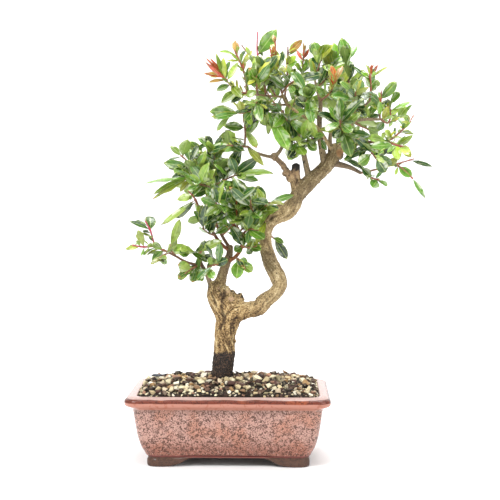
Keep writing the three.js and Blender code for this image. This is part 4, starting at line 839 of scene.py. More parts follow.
def tube(rows: np.ndarray, sides: int) -> tuple[np.ndarray, list[tuple[int, ...]]]:
    """A closed round tube with blunt ends.

    Args:
        rows: x, y, z and radius along it.
        sides: how many sides it has round it.

    Returns:
        Its vertices and faces.
    """
    along, across, over = carried_frames(rows[:, :3])
    cosines, sines = circle(sides)
    ring = cosines[None, :, None] * across[:, None] + sines[None, :, None] * over[:, None]
    ends = [rows[0, :3] - along[0] * rows[0, 3] * 0.5, rows[-1, :3] + along[-1] * rows[-1, 3] * 0.5]
    return lofted(rows[:, None, :3] + rows[:, None, 3:4] * ring, ends)


def ball(detail: int) -> tuple[np.ndarray, list[tuple[int, ...]]]:
    """A round ball of radius 1.

    Args:
        detail: how often its triangles are divided.

    Returns:
        Its vertices and faces.
    """
    made = bmesh.new()
    bmesh.ops.create_icosphere(made, subdivisions=detail, radius=1)
    places = np.array([v.co[:] for v in made.verts])
    faces = [tuple(v.index for v in f.verts) for f in made.faces]
    made.free()
    return places, faces


# ---------------------------------------------------------------------------------------------
# Materials
# ---------------------------------------------------------------------------------------------


def linear(colour: str) -> tuple[float, float, float, float]:
    """Turns an sRGB hex colour linear.

    Args:
        colour: the hex colour.

    Returns:
        Its linear red, green and blue, with full alpha.
    """
    parts = [int(colour[i : i + 2], 16) / 255 for i in (1, 3, 5)]
    red, green, blue = (p / 12.92 if p <= 0.04045 else ((p + 0.055) / 1.055) ** 2.4 for p in parts)
    return red, green, blue, 1.0


def per_mm(size: float) -> float:
    """The scale that gives a pattern on Object coordinates features of a size in millimetres."""
    return 1 / (size * MM)


def add_node(
    tree: bpy.types.NodeTree,
    kind: str,
    inputs: dict | None = None,
    out: str | int | None = None,
    stops: Sequence[tuple[float, str]] = (),
    **settings: object,
) -> bpy.types.NodeSocket:
    """Adds one node with its settings and links.

    Args:
        tree: the tree it goes into.
        kind: the node's type.
        inputs: for an input's name or number, a value, a hex colour or an output to link.
        out: which output to give back; the first one in use if None.
        stops: places and hex colours of a colour ramp.
        settings: the node's own options.

    Returns:
        The asked-for output.
    """
    node = tree.nodes.new(kind)
    for name, value in settings.items():
        setattr(node, name, value)
    for key, value in (inputs or {}).items():
        by_name = [s for s in node.inputs if s.enabled and s.name == key]
        socket = by_name[0] if by_name else node.inputs[key]
        if isinstance(value, bpy.types.NodeSocket):
            tree.links.new(value, socket)
        else:
            hexed = socket.type == "RGBA" and isinstance(value, str)
            socket.default_value = linear(value) if hexed else value
    if stops:
        ramp = node.color_ramp
        while len(ramp.elements) < len(stops):
            ramp.elements.new(0.5)
        for element, (position, colour) in zip(ramp.elements, stops):
            element.position = position
            element.color = linear(colour)
    if out is not None:
        return node.outputs[out]
    return next((s for s in node.outputs if s.enabled), None)


class Recipe:
    """A material in the making: its node tree, and the coats that every finish is laid up from."""

    def __init__(self, name: str) -> None:
        """Starts an empty material of that name, with the place that its patterns lie on."""
        self.material = bpy.data.materials.new(name)
        self.material.use_nodes = True
        self.tree = self.material.node_tree
        self.tree.nodes.clear()
        self.place = self.add("ShaderNodeTexCoord", out="Object")

    def add(self, kind: str, inputs: dict | None = None, **rest: object) -> bpy.types.NodeSocket:
        """Adds one node, as add_node does."""
        return add_node(self.tree, kind, inputs, **rest)

    def mask(self, *terms: object) -> object:
        """How far something shows, as the product of its terms.

        Args:
            terms: each an amount from 0 to 1, or (value, low, high, top), which rises smoothly from
                0 where the value is low to top, or 1 if that is left out, where it is high. High may
                be under low.

        Returns:
            The amount.
        """
        amount = None
        for term in terms:
            if isinstance(term, tuple):
                value, low, high, top = term if len(term) == 4 else (*term, 1.0)
                span = {"From Min": low, "From Max": high, "To Min": 0.0, "To Max": top}
                term = self.add(
                    "ShaderNodeMapRange", {"Value": value, **span}, interpolation_type="SMOOTHSTEP"
                )
            if amount is not None:
                term = self.add("ShaderNodeMath", {0: amount, 1: term}, operation="MULTIPLY")
            amount = term
        return amount

    def coated(self, colour: object, *coats: tuple) -> bpy.types.NodeSocket:
        """Lays coats over a colour, one after the other.

        Args:
            colour: what lies under them.
            coats: each a colour, followed by the terms of its mask.

        Returns:
            The colour that shows.
        """
        for coat, *terms in coats:
            inputs = {"A": colour, "B": coat, "Factor": self.mask(*terms)}
            colour = self.add("ShaderNodeMix", inputs, data_type="RGBA")
        return colour

    def finish(
        self, relief: tuple[object, float, float] | None = None, **sockets: object
    ) -> bpy.types.Material:
        """Closes the recipe with its shader.

        Args:
            relief: a height, how strongly it shows and its depth in millimetres.
            sockets: values and links of the shader, by socket name with _ for a space.

        Returns:
            The material.
        """
        named = {key.replace("_", " "): value for key, value in sockets.items()}
        if relief:
            height, strength, depth = relief
            inputs = {"Height": height, "Strength": strength, "Distance": depth * MM}
            named["Normal"] = self.add("ShaderNodeBump", inputs)
        shader = self.add("ShaderNodeBsdfPrincipled", named)
        self.add("ShaderNodeOutputMaterial", {"Surface": shader})
        return self.material


@dataclass(frozen=True)
class GlazedStoneware:
    """Stoneware fired with a speckled glaze that stops above the bare clay foot.

    The glaze gives a soft gloss over salmon with dense brown worm-like specks, burns to
    orange-brown on the rim's face and breaks pale along its edge.
    """

    salmon: str = "#b48b7e"
    orange: str = "#ad755e"
    belly: str = "#985f4c"
    speck: str = "#4a2b20"
    fine_speck: str = "#6d4636"
    fleck: str = "#cfae9f"
    grey: str = "#735348"
    rim_face: str = "#6c3020"
    rim_dark: str = "#3d1a10"
    rim_bright: str = "#8c4529"
    rim_roll: str = "#ab7260"
    rim_top: str = "#b3928a"
    clay: str = "#563c2f"
    clay_dark: str = "#3a2a22"
    glaze_line: str = "#7c4640"
    # Sizes of the patterns and heights of the rim's bands, in millimetres.
    cloud_size: float = 26
    blot_size: float = 6
    fleck_gap: float = 2.6
    speck_size: float = 2.3
    fine_size: float = 1.3
    glaze_end: float = 11.4
    roll_low: float = 59
    face_low: float = 66.3
    top_low: float = 70.7
    blot_wander: float = 1.6
    rim_wander: float = 2.4

    def build(self) -> bpy.types.Material:
        """Makes the material."""
        r = Recipe("glazed_stoneware")
        broad, worms, fine, blots = (
            r.add(
                "ShaderNodeTexNoise",
                {"Vector": r.place, "Scale": per_mm(size), "Detail": detail, "Distortion": bent},
            )
            for size, detail, bent in (
                (self.cloud_size, 2.0, 0.0), (self.speck_size, 1.5, 1.4), (self.fine_size, 1.0, 0.0),
                (self.blot_size, 1.0, 0.8),
            )
        )
        cells = r.add("ShaderNodeTexVoronoi", {"Vector": r.place, "Scale": per_mm(self.fleck_gap)})
        height = r.add("ShaderNodeSeparateXYZ", {"Vector": r.place}, out="Z")
        wander, ran = (
            r.add("ShaderNodeMath", {0: part, 1: most * MM, 2: height}, operation="MULTIPLY_ADD")
            for part, most in ((blots, self.blot_wander), (broad, self.rim_wander))
        )
        face_low, top_low = self.face_low + self.rim_wander / 2, self.top_low + self.rim_wander / 2
        roll = r.coated(self.rim_roll, (self.rim_bright, (blots, 0.55, 0.7, 0.5)))
        face = r.coated(
            self.rim_face, (self.rim_bright, (broad, 0.5, 0.62)), (self.rim_dark, (worms, 0.5, 0.6, 0.7))
        )
        top = r.coated(self.rim_top, (self.fleck, (worms, 0.5, 0.62, 0.4)))
        glaze = r.coated(
            self.salmon,
            (self.orange, (broad, 0.46, 0.66, 0.8)),
            (self.belly, (wander, 34 * MM, 16 * MM, 0.85)),
            (self.grey, (wander, 54 * MM, 60 * MM, 0.4)),
            (self.fleck, (cells, 0.3, 0.16, 0.5)),
            (self.speck, (worms, 0.512, 0.54, 0.92)),
            (self.fine_speck, (fine, 0.58, 0.66, 0.5)),
            (self.grey, (blots, 0.63, 0.7, 0.45)),
            (roll, (height, self.roll_low * MM, (self.roll_low + 1.5) * MM)),
            (face, (ran, face_low * MM, (face_low + 0.8) * MM)),
            (top, (ran, (top_low - 0.7) * MM, top_low * MM)),
        )
        is_glazed = r.mask((wander, (self.glaze_end + 0.9) * MM, (self.glaze_end + 1.3) * MM))
        colour = r.coated(
            self.clay,
            (self.clay_dark, (worms, 0.48, 0.6, 0.7)),
            (self.glaze_line, (wander, (self.glaze_end - 1.4) * MM, (self.glaze_end - 0.4) * MM)),
            (glaze, is_glazed),
        )
        gloss = r.add("ShaderNodeMapRange", {"Value": is_glazed, "To Min": 0.85, "To Max": 0.26})
        skin = r.add("ShaderNodeMath", {0: worms, 1: 0.5, 2: fine}, operation="MULTIPLY_ADD")
        return r.finish(
            (skin, 0.25, 0.25), Base_Color=colour, Roughness=gloss, Specular_IOR_Level=0.35,
            Coat_Weight=0.3, Coat_Roughness=0.06,
        )


@dataclass(frozen=True)
class PomegranateBark:
    """Living bark of an old pomegranate trunk.

    It is granular and fibrous in tans and browns, with painted shade in its hollows, on the upper
    trunk under the crown and at its bend, black and damp near the grit, with pink callus, charred
    wood and orange heartwood where the marks say so. Each limb has a tone of its own.
    """

    trunk: tuple[str, ...] = ("#2e2012", "#5d472b", "#96774b", "#ba9d6b", "#dcc89a")
    upper: tuple[str, ...] = ("#5c4a34", "#7c6748", "#98835b", "#b7a077", "#d8c8a2")
    # Where the five tones stand in the mixed pattern, and how much the two sets are spread.
    spots: tuple[float, ...] = (0.33, 0.42, 0.5, 0.58, 0.68)
    trunk_spread: float = 0.44
    upper_spread: float = 0.55
    pit: str = "#33261b"
    # Painted shade: the share of brightness the wood keeps on the upper trunk under the crown and at its
    # bend.
    shade: float = 0.65
    limb_shade: float = 0.45
    # Painted shade in the cracks and the crumples' hollows.
    hollow_shade: str = "#3a2b1d"
    damp: str = "#080503"
    damp_light: str = "#5a4333"
    char: str = "#1b1613"
    callus: str = "#c4a482"
    heartwood: str = "#aa8059"
    # Widths and sizes of the patterns, in millimetres.
    fibre_width: float = 1.6
    strip_width: float = 6.0
    grain_size: float = 1.5
    blot_size: float = 9
    pit_gap: float = 4.2

    def build(self) -> bpy.types.Material:
        """Makes the material."""
        r = Recipe("pomegranate_bark")
        grain = r.add("ShaderNodeAttribute", attribute_name="grain", out="Vector")
        tone, zones, wounds = (
            r.add("ShaderNodeAttribute", attribute_name=name, out="Color")
            for name in ("tone", "zones", "wounds")
        )
        damp, is_upper, is_limb, charred, callus, heart = (
            r.add("ShaderNodeSeparateColor", {"Color": marks}, out=channel)
            for marks in (zones, wounds) for channel in ("Red", "Green", "Blue")
        )
        # The alphas carry painted shade: on the upper trunk and at the bend, and in the hollows.
        painted_shade, hollow_shade = (
            r.add("ShaderNodeAttribute", attribute_name=name, out="Alpha") for name in ("zones", "wounds")
        )
        fibres, grains, blots, strips = (
            r.add(
                "ShaderNodeTexNoise",
                {"Vector": vector, "Scale": scale, "Detail": detail, "Roughness": rough},
            )
            for vector, scale, detail, rough in (
                (grain, 1 / self.fibre_width, 4.0, 0.7), (r.place, per_mm(self.grain_size), 3.0, 0.75),
                (r.place, per_mm(self.blot_size), 2.0, 0.5), (grain, 1 / self.strip_width, 2.0, 0.5),
            )
        )
        pits = r.add("ShaderNodeTexVoronoi", {"Vector": r.place, "Scale": per_mm(self.pit_gap)})
        mixed = r.add("ShaderNodeMath", {0: fibres, 1: 0.28}, operation="MULTIPLY")
        for part, share in ((grains, 0.34), (blots, 0.16), (strips, 0.22)):
            mixed = r.add("ShaderNodeMath", {0: part, 1: share, 2: mixed}, operation="MULTIPLY_ADD")
        low, high = (
            r.add(
                "ShaderNodeValToRGB", {"Fac": mixed},
                stops=[(0.5 + (s - 0.5) * spread, c) for s, c in zip(self.spots, colours)],
            )
            for colours, spread in ((self.trunk, self.trunk_spread), (self.upper, self.upper_spread))
        )
        wood = r.coated(low, (high, is_upper))
        darker, shadow = (
            r.add("ShaderNodeHueSaturation", {"Color": whole, "Value": value})
            for whole, value in ((wood, self.shade), (tone, self.limb_shade))
        )
        colour = r.coated(
            wood,
            # Painted shade on the upper trunk under the crown and at the bend.
            (darker, painted_shade),
            (r.coated(shadow, (tone, (mixed, 0.42, 0.55))), is_limb),
            (self.pit, (pits, 0.24, 0.14, 0.85)),
            (self.callus, callus, (grains, 0.36, 0.46)),
            # Painted shade in the cracks and the crumples' hollows.
            (self.hollow_shade, hollow_shade),
            (self.char, charred),
            (self.heartwood, heart),
            (r.coated(self.damp, (self.damp_light, (grains, 0.51, 0.57))), damp),
        )
        relief = r.add("ShaderNodeMath", {0: fibres, 1: 0.8, 2: grains}, operation="MULTIPLY_ADD")
        rough = r.add("ShaderNodeMapRange", {"Value": damp, "To Min": 0.82, "To Max": 0.7})
        return r.finish((relief, 1.0, 0.9), Base_Color=colour, Roughness=rough)


@dataclass(frozen=True)
class TwigSkin:
    """Smooth skin of this year's stems, tinted by each stem's own tone, with darker mottling."""

    shadow: str = "#3f2a1f"
    mottle_size: float = 2.5

    def build(self) -> bpy.types.Material:
        """Makes the material."""
        r = Recipe("young_twig_skin")
        tone = r.add("ShaderNodeAttribute", attribute_name="tone", out="Color")
        mottle = r.add(
            "ShaderNodeTexNoise", {"Vector": r.place, "Scale": per_mm(self.mottle_size), "Detail": 3.0}
        )
        colour = r.coated(tone, (self.shadow, (mottle, 0.5, 0.68, 0.6)))
        return r.finish((mottle, 0.3, 0.2), Base_Color=colour, Roughness=0.5)


@dataclass(frozen=True)
class PomegranateLeaf:
    """Leathery, glossy pomegranate leaf.

    Each blade keeps its own tone. Pale streaks of painted sheen lie on one half of the blade beside
    a cream midrib, the margin and the tip turn yellow-green, and the underside is paler and duller.
    """

    midrib: str = "#cbd88c"
    margin: str = "#bdc24c"
    # The colour of the painted sheen streaks.
    wax_and_painted_sheen: str = "#e4ead0"
    underside: str = "#9db35c"
    stalk: str = "#a0583c"
    scorch: str = "#b0702c"
    # The side veins' gap is a share of the blade, the other sizes are millimetres.
    vein_gap: float = 0.085
    cloud_size: float = 8
    streak_size: float = 6

    def build(self) -> bpy.types.Material:
        """Makes the material."""
        r = Recipe("pomegranate_leaf")
        tone = r.add("ShaderNodeAttribute", attribute_name="tone", out="Color")
        blade, look = (
            r.add("ShaderNodeAttribute", attribute_name=name, out="Vector") for name in ("blade", "look")
        )
        along, across, side, painted_sheen_amount, scorched, lit_side = (
            r.add("ShaderNodeSeparateXYZ", {"Vector": marks}, out=axis)
            for marks in (blade, look) for axis in "XYZ"
        )
        edge = r.add("ShaderNodeMath", {0: across}, operation="ABSOLUTE")
        slant = r.add("ShaderNodeMath", {0: edge, 1: -0.14, 2: along}, operation="MULTIPLY_ADD")
        veins = r.add("ShaderNodeMath", {0: slant, 1: self.vein_gap}, operation="PINGPONG")
        veins = r.mask((veins, 0.0, self.vein_gap * 0.5))
        clouds, streaks = (
            r.add("ShaderNodeTexNoise", {"Vector": r.place, "Scale": per_mm(size), "Detail": detail})
            for size, detail in ((self.cloud_size, 2.0), (self.streak_size, 1.0))
        )
        lit = r.mask((r.mask(across, lit_side), 0.04, 0.5))
        deep = r.add("ShaderNodeHueSaturation", {"Color": tone, "Value": 0.5})
        cloudy = r.coated(tone, (deep, (clouds, 0.45, 0.65, 0.8)))
        upper = r.coated(
            deep,
            (cloudy, (veins, -1.6, 1.0)),
            # Painted sheen: pale streaks on the half of the blade that counts as lit.
            (self.wax_and_painted_sheen, (streaks, 0.42, 0.6, 0.78), lit, painted_sheen_amount),
            (self.margin, (edge, 0.86, 1.0, 0.55)),
            (self.margin, (along, 0.86, 1.0, 0.45)),
            (self.midrib, (edge, 0.11, 0.02, 0.45)),
        )
        colour = r.coated(
            upper,
            (r.coated(upper, (self.underside, 0.5)), (side, 0.0, -0.3)),
            (self.scorch, scorched, (along, 0.86, 1.0)),
            (self.stalk, (along, 0.14, 0.06, 0.7)),
        )
        relief = r.add("ShaderNodeMath", {0: veins, 1: 0.5, 2: clouds}, operation="MULTIPLY_ADD")
        # The underside is duller: its roughness rises.
        painted_shade_and_dullness = {"Value": side, "From Min": -0.3, "To Min": 0.55, "To Max": 0.26}
        rough = r.add("ShaderNodeMapRange", painted_shade_and_dullness)
        return r.finish(
            (relief, 0.3, 0.4), Base_Color=colour, Roughness=rough, Coat_Weight=0.45, Coat_Roughness=0.22
        )


@dataclass(frozen=True)
class GritStone:
    """Dry crushed stone and fired clay grit, each grain in its own tone with darker specks."""

    speck: str = "#6f5546"
    dust: str = "#d9cfae"
    speck_size: float = 1.2
    cloud_size: float = 3.5

    def build(self) -> bpy.types.Material:
        """Makes the material."""
        r = Recipe("crushed_grit_stone")
        tone = r.add("ShaderNodeAttribute", attribute_name="tone", out="Color")
        specks, clouds = (
            r.add("ShaderNodeTexNoise", {"Vector": r.place, "Scale": per_mm(size), "Detail": detail})
            for size, detail in ((self.speck_size, 3.0), (self.cloud_size, 2.0))
        )
        colour = r.coated(
            tone, (self.dust, (clouds, 0.52, 0.7, 0.2)), (self.speck, (specks, 0.57, 0.7, 0.6))
        )
        return r.finish((specks, 0.6, 0.4), Base_Color=colour, Roughness=0.85)


@dataclass(frozen=True)
class CrumbledMatter:
    """Loose crumbs of one colour family: potting soil, or the grit bed, dark as the painted shade between
    grains.
    """

    name: str
    dark: str
    light: str
    crumb_size: float

    def build(self) -> bpy.types.Material:
        """Makes the material."""
        r = Recipe(self.name)
        crumbs = r.add("ShaderNodeTexVoronoi", {"Vector": r.place, "Scale": per_mm(self.crumb_size)})
        fine = r.add(
            "ShaderNodeTexNoise",
            {"Vector": r.place, "Scale": per_mm(self.crumb_size / 3), "Detail": 4.0},
        )
        colour = r.coated(
            self.light, (self.dark, (crumbs, 0.2, 0.6)), (self.dark, (fine, 0.45, 0.65, 0.7))
        )
        return r.finish((fine, 0.9, 1.0), Base_Color=colour, Roughness=0.95)


@dataclass(frozen=True)
class MouldedPlastic:
    """Black-green moulded polypropylene netting with a fine pebbled skin."""

    colour: str = "#23302a"
    scuff: str = "#4a5650"
    pebble_size: float = 1.1

    def build(self) -> bpy.types.Material:
        """Makes the material."""
        r = Recipe("moulded_polypropylene")
        pebble = r.add(
            "ShaderNodeTexNoise", {"Vector": r.place, "Scale": per_mm(self.pebble_size), "Detail": 2.0}
        )
        colour = r.coated(self.colour, (self.scuff, (pebble, 0.55, 0.75, 0.6)))
        return r.finish((pebble, 0.3, 0.15), Base_Color=colour, Roughness=0.55)


@dataclass(frozen=True)
class AnodisedWire:
    """Soft anodised aluminium training wire, brown, with drawn lines that roughen its shine."""

    metal: str = "#8d6a4e"
    rubbed: str = "#b79a80"
    line_gap: float = 0.8

    def build(self) -> bpy.types.Material:
        """Makes the material."""
        r = Recipe("anodised_aluminium_wire")
        drawn = r.add(
            "ShaderNodeTexNoise", {"Vector": r.place, "Scale": per_mm(self.line_gap), "Detail": 2.0}
        )
        colour = r.coated(self.metal, (self.rubbed, (drawn, 0.45, 0.7)))
        rough = r.add("ShaderNodeMapRange", {"Value": drawn, "To Min": 0.25, "To Max": 0.5})
        return r.finish(Base_Color=colour, Metallic=1.0, Roughness=rough)


@dataclass(frozen=True)
class FlakedBark:
    """A weathered flake of pine bark, blue-grey and layered."""

    dark: str = "#2c2f36"
    light: str = "#5d6068"
    layer_size: float = 3

    def build(self) -> bpy.types.Material:
        """Makes the material."""
        r = Recipe("weathered_bark_flake")
        layers = r.add(
            "ShaderNodeTexNoise",
            {"Vector": r.place, "Scale": per_mm(self.layer_size), "Detail": 4.0, "Distortion": 1.0},
        )
        colour = r.coated(self.dark, (self.light, (layers, 0.45, 0.65)))
        return r.finish((layers, 0.6, 0.4), Base_Color=colour, Roughness=0.8)


@dataclass(frozen=True)
class StudioPaper:
    """Matt white background paper with a barely visible tooth.

    Well behind the pot it glows with painted light, which keeps the background white.
    """

    white: str = "#fbfbfb"
    tooth: str = "#f6f6f6"
    tooth_size: float = 3
    # How bright the paper's painted glow is, and where behind the pot it starts and is full, in metres.
    glow: float = 0.35
    glow_start: float = 0.5
    glow_full: float = 1.6

    def build(self) -> bpy.types.Material:
        """Makes the material."""
        r = Recipe("white_background_paper")
        behind = r.add("ShaderNodeSeparateXYZ", {"Vector": r.place}, out="Y")
        tooth = r.add("ShaderNodeTexNoise", {"Vector": r.place, "Scale": per_mm(self.tooth_size)})
        return r.finish(
            Base_Color=r.coated(self.white, (self.tooth, tooth)), Roughness=0.9,
            # Painted light: the paper glows well behind the pot.
            Emission_Color=(1, 1, 1, 1),
            Emission_Strength=r.mask((behind, self.glow_start, self.glow_full, self.glow)),
        )


# ---------------------------------------------------------------------------------------------
# Things that repeat
# ---------------------------------------------------------------------------------------------


@dataclass(frozen=True)
class Spot:
    """A point that a Scatter sets a shape on, in millimetres."""

    place: np.ndarray
    # The directions of the shape's X and Z.
    aim: np.ndarray
    facing: np.ndarray
    # Its length, width and thickness.
    size: Sequence[float]
    # Which shape it is, its linear colour and any further looks that its material reads.
    variant: int
    tone: np.ndarray
    look: Sequence[float] = (0, 0, 0)


class Scatter:
    """A Geometry Nodes tree that sets one of several small shapes on each spot."""

    def __init__(self, name: str, shapes: Sequence[bpy.types.Mesh], spread: float, seed: int) -> None:
        """Builds the tree.

        Args:
            name: what is scattered.
            shapes: the small meshes, one unit long.
            spread: the most by which a shape's size may differ from what its spot says, as a share.
            seed: fixes the random part.
        """
        self.spread = spread
        self.seed = seed
        self.shapes = bpy.data.collections.new(name)
        for number, mesh in enumerate(shapes):
            self.shapes.objects.link(bpy.data.objects.new(f"{name}_{number:02d}", mesh))
        self.tree = bpy.data.node_groups.new(f"scatter_{name}", "GeometryNodeTree")
        self.inputs: dict[str, str] = {}
        for label, kind in (
            ("Points", "Geometry"), ("Shapes", "Collection"), ("Finish", "Material"),
            ("Size Spread", "Float"), ("Seed", "Int"),
        ):
            made = self.tree.interface.new_socket(
                label, in_out="INPUT", socket_type=f"NodeSocket{kind}"
            )
            self.inputs[label] = made.identifier
        self.tree.interface.new_socket("Pieces", in_out="OUTPUT", socket_type="NodeSocketGeometry")
        self._build()

    def _build(self) -> None:
        """Fills the tree from its inputs to its output."""
        add = partial(add_node, self.tree)
        points = add("NodeGroupInput", out="Points")
        source = points.node.outputs
        told = {
            name: add("GeometryNodeInputNamedAttribute", {"Name": name}, data_type=kind)
            for name, kind in (
                ("aim", "FLOAT_VECTOR"), ("facing", "FLOAT_VECTOR"), ("size", "FLOAT_VECTOR"),
                ("variant", "INT"),
            )
        }
        shapes = add(
            "GeometryNodeCollectionInfo",
            {"Collection": source["Shapes"], "Separate Children": True, "Reset Children": True},
        )
        turned = add(
            "FunctionNodeAxesToRotation",
            {"Primary Axis": told["aim"], "Secondary Axis": told["facing"]},
            primary_axis="X", secondary_axis="Z",
        )
        least, most = (
            add("ShaderNodeMath", {0: 1.0, 1: source["Size Spread"]}, operation=operation)
            for operation in ("SUBTRACT", "ADD")
        )
        differs = add(
            "FunctionNodeRandomValue", {"Min": least, "Max": most, "Seed": source["Seed"]},
            data_type="FLOAT",
        )
        size = add("ShaderNodeVectorMath", {0: told["size"], "Scale": differs}, operation="SCALE")
        placed = add(
            "GeometryNodeInstanceOnPoints",
            {
                "Points": points, "Instance": shapes, "Pick Instance": True,
                "Instance Index": told["variant"], "Rotation": turned, "Scale": size,
            },
        )
        real = add("GeometryNodeRealizeInstances", {"Geometry": placed})
        dressed = add("GeometryNodeSetMaterial", {"Geometry": real, "Material": source["Finish"]})
        add("NodeGroupOutput", {"Pieces": dressed})

    def pieces(
        self, name: str, spots: Sequence[Spot], place: PotPlace, material: bpy.types.Material
    ) -> bpy.types.Object:
        """Sets the shapes on the spots.

        Args:
            name: the new object's name.
            spots: where the shapes go.
            place: the pot's place.
            material: what the shapes are made of.

        Returns:
            One plain object of all the shapes.
        """
        mesh = bpy.data.meshes.new(name)
        mesh.from_pydata(place.metres(np.array([s.place for s in spots])).tolist(), [], [])
        mark(mesh, "size", np.array([s.size for s in spots], float) * MM)
        mark(mesh, "variant", np.array([s.variant for s in spots], np.int32))
        for key in ("aim", "facing", "tone", "look"):
            mark(mesh, key, np.array([getattr(s, key) for s in spots], float))
        made = shown(name, mesh)
        modifier = made.modifiers.new("scatter", "NODES")
        modifier.node_group = self.tree
        for label, value in (
            ("Shapes", self.shapes), ("Finish", material), ("Size Spread", self.spread),
            ("Seed", self.seed),
        ):
            modifier[self.inputs[label]] = value
        return settle(made)

    def clear(self) -> None:
        """Takes the small shapes and the tree out of the file."""
        for shape in list(self.shapes.objects):
            bpy.data.objects.remove(shape)
        bpy.data.collections.remove(self.shapes)
        bpy.data.node_groups.remove(self.tree)


# ---------------------------------------------------------------------------------------------
# Pot
# ---------------------------------------------------------------------------------------------


@dataclass(frozen=True)
class Pot:
    """The glazed rectangular pot, one fired piece with cut feet and two drainage holes."""

    half_width: float = 101.4
    half_depth: float = 66.4
    corner_radius: float = 13
    floor_underside: float = 9
    floor_top: float = 17
    hole_radius: float = 7
    hole_x: float = 46
    hole_sides: int = 48
    foot_flat_x: float = 64
    foot_arch_x: float = 35
    foot_flat_y: float = 32
    foot_arch_y: float = 12
    # Below this height the wall gives way to the cuts between the feet.
    cut_end: float = 12.5
    side_step: float = 2.8
    corner_steps: int = 14
    sharp_angle: float = 50
    # Rings of the underside and of the floor inside, as shares of the wall's nearest ring.
    underside_shares: tuple[float, ...] = (
        0.1, 0.2, 0.3, 0.38, 0.46, 0.54, 0.6, 0.66, 0.72, 0.78, 0.83, 0.88, 0.92, 0.96,
    )
    floor_shares: tuple[float, ...] = (0.9, 0.7, 0.45, 0.2)
    # Share of the way from a foot's flat to the top of the arch beside it, and share of its height.
    arch: tuple[Pair, ...] = (
        (0, 0), (0.18, 0.06), (0.35, 0.16), (0.54, 0.34), (0.68, 0.58), (0.8, 0.82), (0.9, 0.94), (1, 1),
    )
    # Height and half-width of the wall's two faces.
    outside: tuple[Pair, ...] = (
        (0, 80), (0.9, 81), (6.5, 81.1), (8.2, 79.8), (10, 80.2), (11.5, 82), (14.5, 83.2), (18, 85.2),
        (22, 87), (30, 89.4), (40, 91.2), (50, 92.6), (57, 93.4), (59.5, 94.4), (61, 96.4),
        (62.4, 99.4), (63.6, 100.9), (65.4, 101.4), (67.4, 101.4), (69, 100.9), (70.2, 99.4),
        (71.2, 97), (72, 94),
    )
    inside: tuple[Pair, ...] = (
        (72, 91.2), (71.4, 89.8), (70, 89.4), (65, 88.4), (58, 86.5), (40, 83), (24, 77.5),
        (18.5, 75.5), (17, 74),
    )

    def plan(self) -> np.ndarray:
        """The pot's outline at its widest.

        Returns:
            Evenly spaced points, counter-clockwise from above.
        """
        r = self.corner_radius
        x, y = self.half_width - r, self.half_depth - r
        corners = []
        for cx, cy, start in ((x, y, 0), (-x, y, 90), (-x, -y, 180), (x, -y, 270)):
            turns = [math.radians(start + 90 * i / self.corner_steps) for i in range(self.corner_steps + 1)]
            corners.append([(cx + r * math.cos(t), cy + r * math.sin(t)) for t in turns])
        points = []
        for corner, following in zip(corners, [*corners[1:], corners[0]]):
            here, goal = np.array(corner[-1]), np.array(following[0])
            steps = round(np.linalg.norm(goal - here) / self.side_step)
            points += [*corner, *(here + (goal - here) * i / steps for i in range(1, steps))]
        return np.array(points)

    def ring(self, plan: np.ndarray, half_width: float) -> np.ndarray:
        """The outline where the pot's wall is that far from the middle."""
        share = 1 - (self.half_width - half_width) / np.array([self.half_width, self.half_depth])
        return plan * share

    def arch_height(self, across: np.ndarray, flat: float, top: float) -> np.ndarray:
        """How high the cut between two feet is.

        Args:
            across: distances from the middle.
            flat: where the foot's flat begins.
            top: where the arch is at its full height.

        Returns:
            The height at each distance.
        """
        share, height = zip(*self.arch)
        way = (flat - np.abs(across)) / (flat - top)
        return np.interp(way, share, height) * self.floor_underside

    def underside(self, ring: np.ndarray) -> np.ndarray:
        """The height of the underside over each point of a ring."""
        return np.maximum(
            self.arch_height(ring[:, 0], self.foot_flat_x, self.foot_arch_x),
            self.arch_height(ring[:, 1], self.foot_flat_y, self.foot_arch_y),
        )

    @staticmethod
    def rounded(profile: Sequence[Pair], times: int = 2) -> list[np.ndarray]:
        """Cuts a profile's corners until it is smooth.

        Args:
            profile: its points.
            times: how often each corner is cut.

        Returns:
            The points of the smooth profile.
        """
        points = [np.array(p, float) for p in profile]
        for _ in range(times):
            cut = [points[0]]
            for a, b in zip(points, points[1:]):
                cut += [a * 0.75 + b * 0.25, a * 0.25 + b * 0.75]
            points = [*cut, points[-1]]
        return points

    def rings(self) -> list[np.ndarray]:
        """The rings of the whole pot.

        Returns:
            Rings from the middle of its underside out, up, over the rim and in to the floor's middle.
        """
        plan = self.plan()
        first, last = self.ring(plan, self.outside[0][1]), self.ring(plan, self.inside[-1][1])
        rings = [np.column_stack([first * s, self.underside(first * s)]) for s in self.underside_shares]
        for height, half_width in self.rounded(self.outside):
            ring = self.ring(plan, half_width)
            low = self.underside(ring)
            up = np.where(height < self.cut_end, low + height * (1 - low / self.cut_end), height)
            rings.append(np.column_stack([ring, up]))
        level = [(self.ring(plan, half_width), height) for height, half_width in self.rounded(self.inside)]
        level += [(last * share, self.floor_top) for share in self.floor_shares]
        return rings + [np.column_stack([ring, np.full(len(ring), height)]) for ring, height in level]

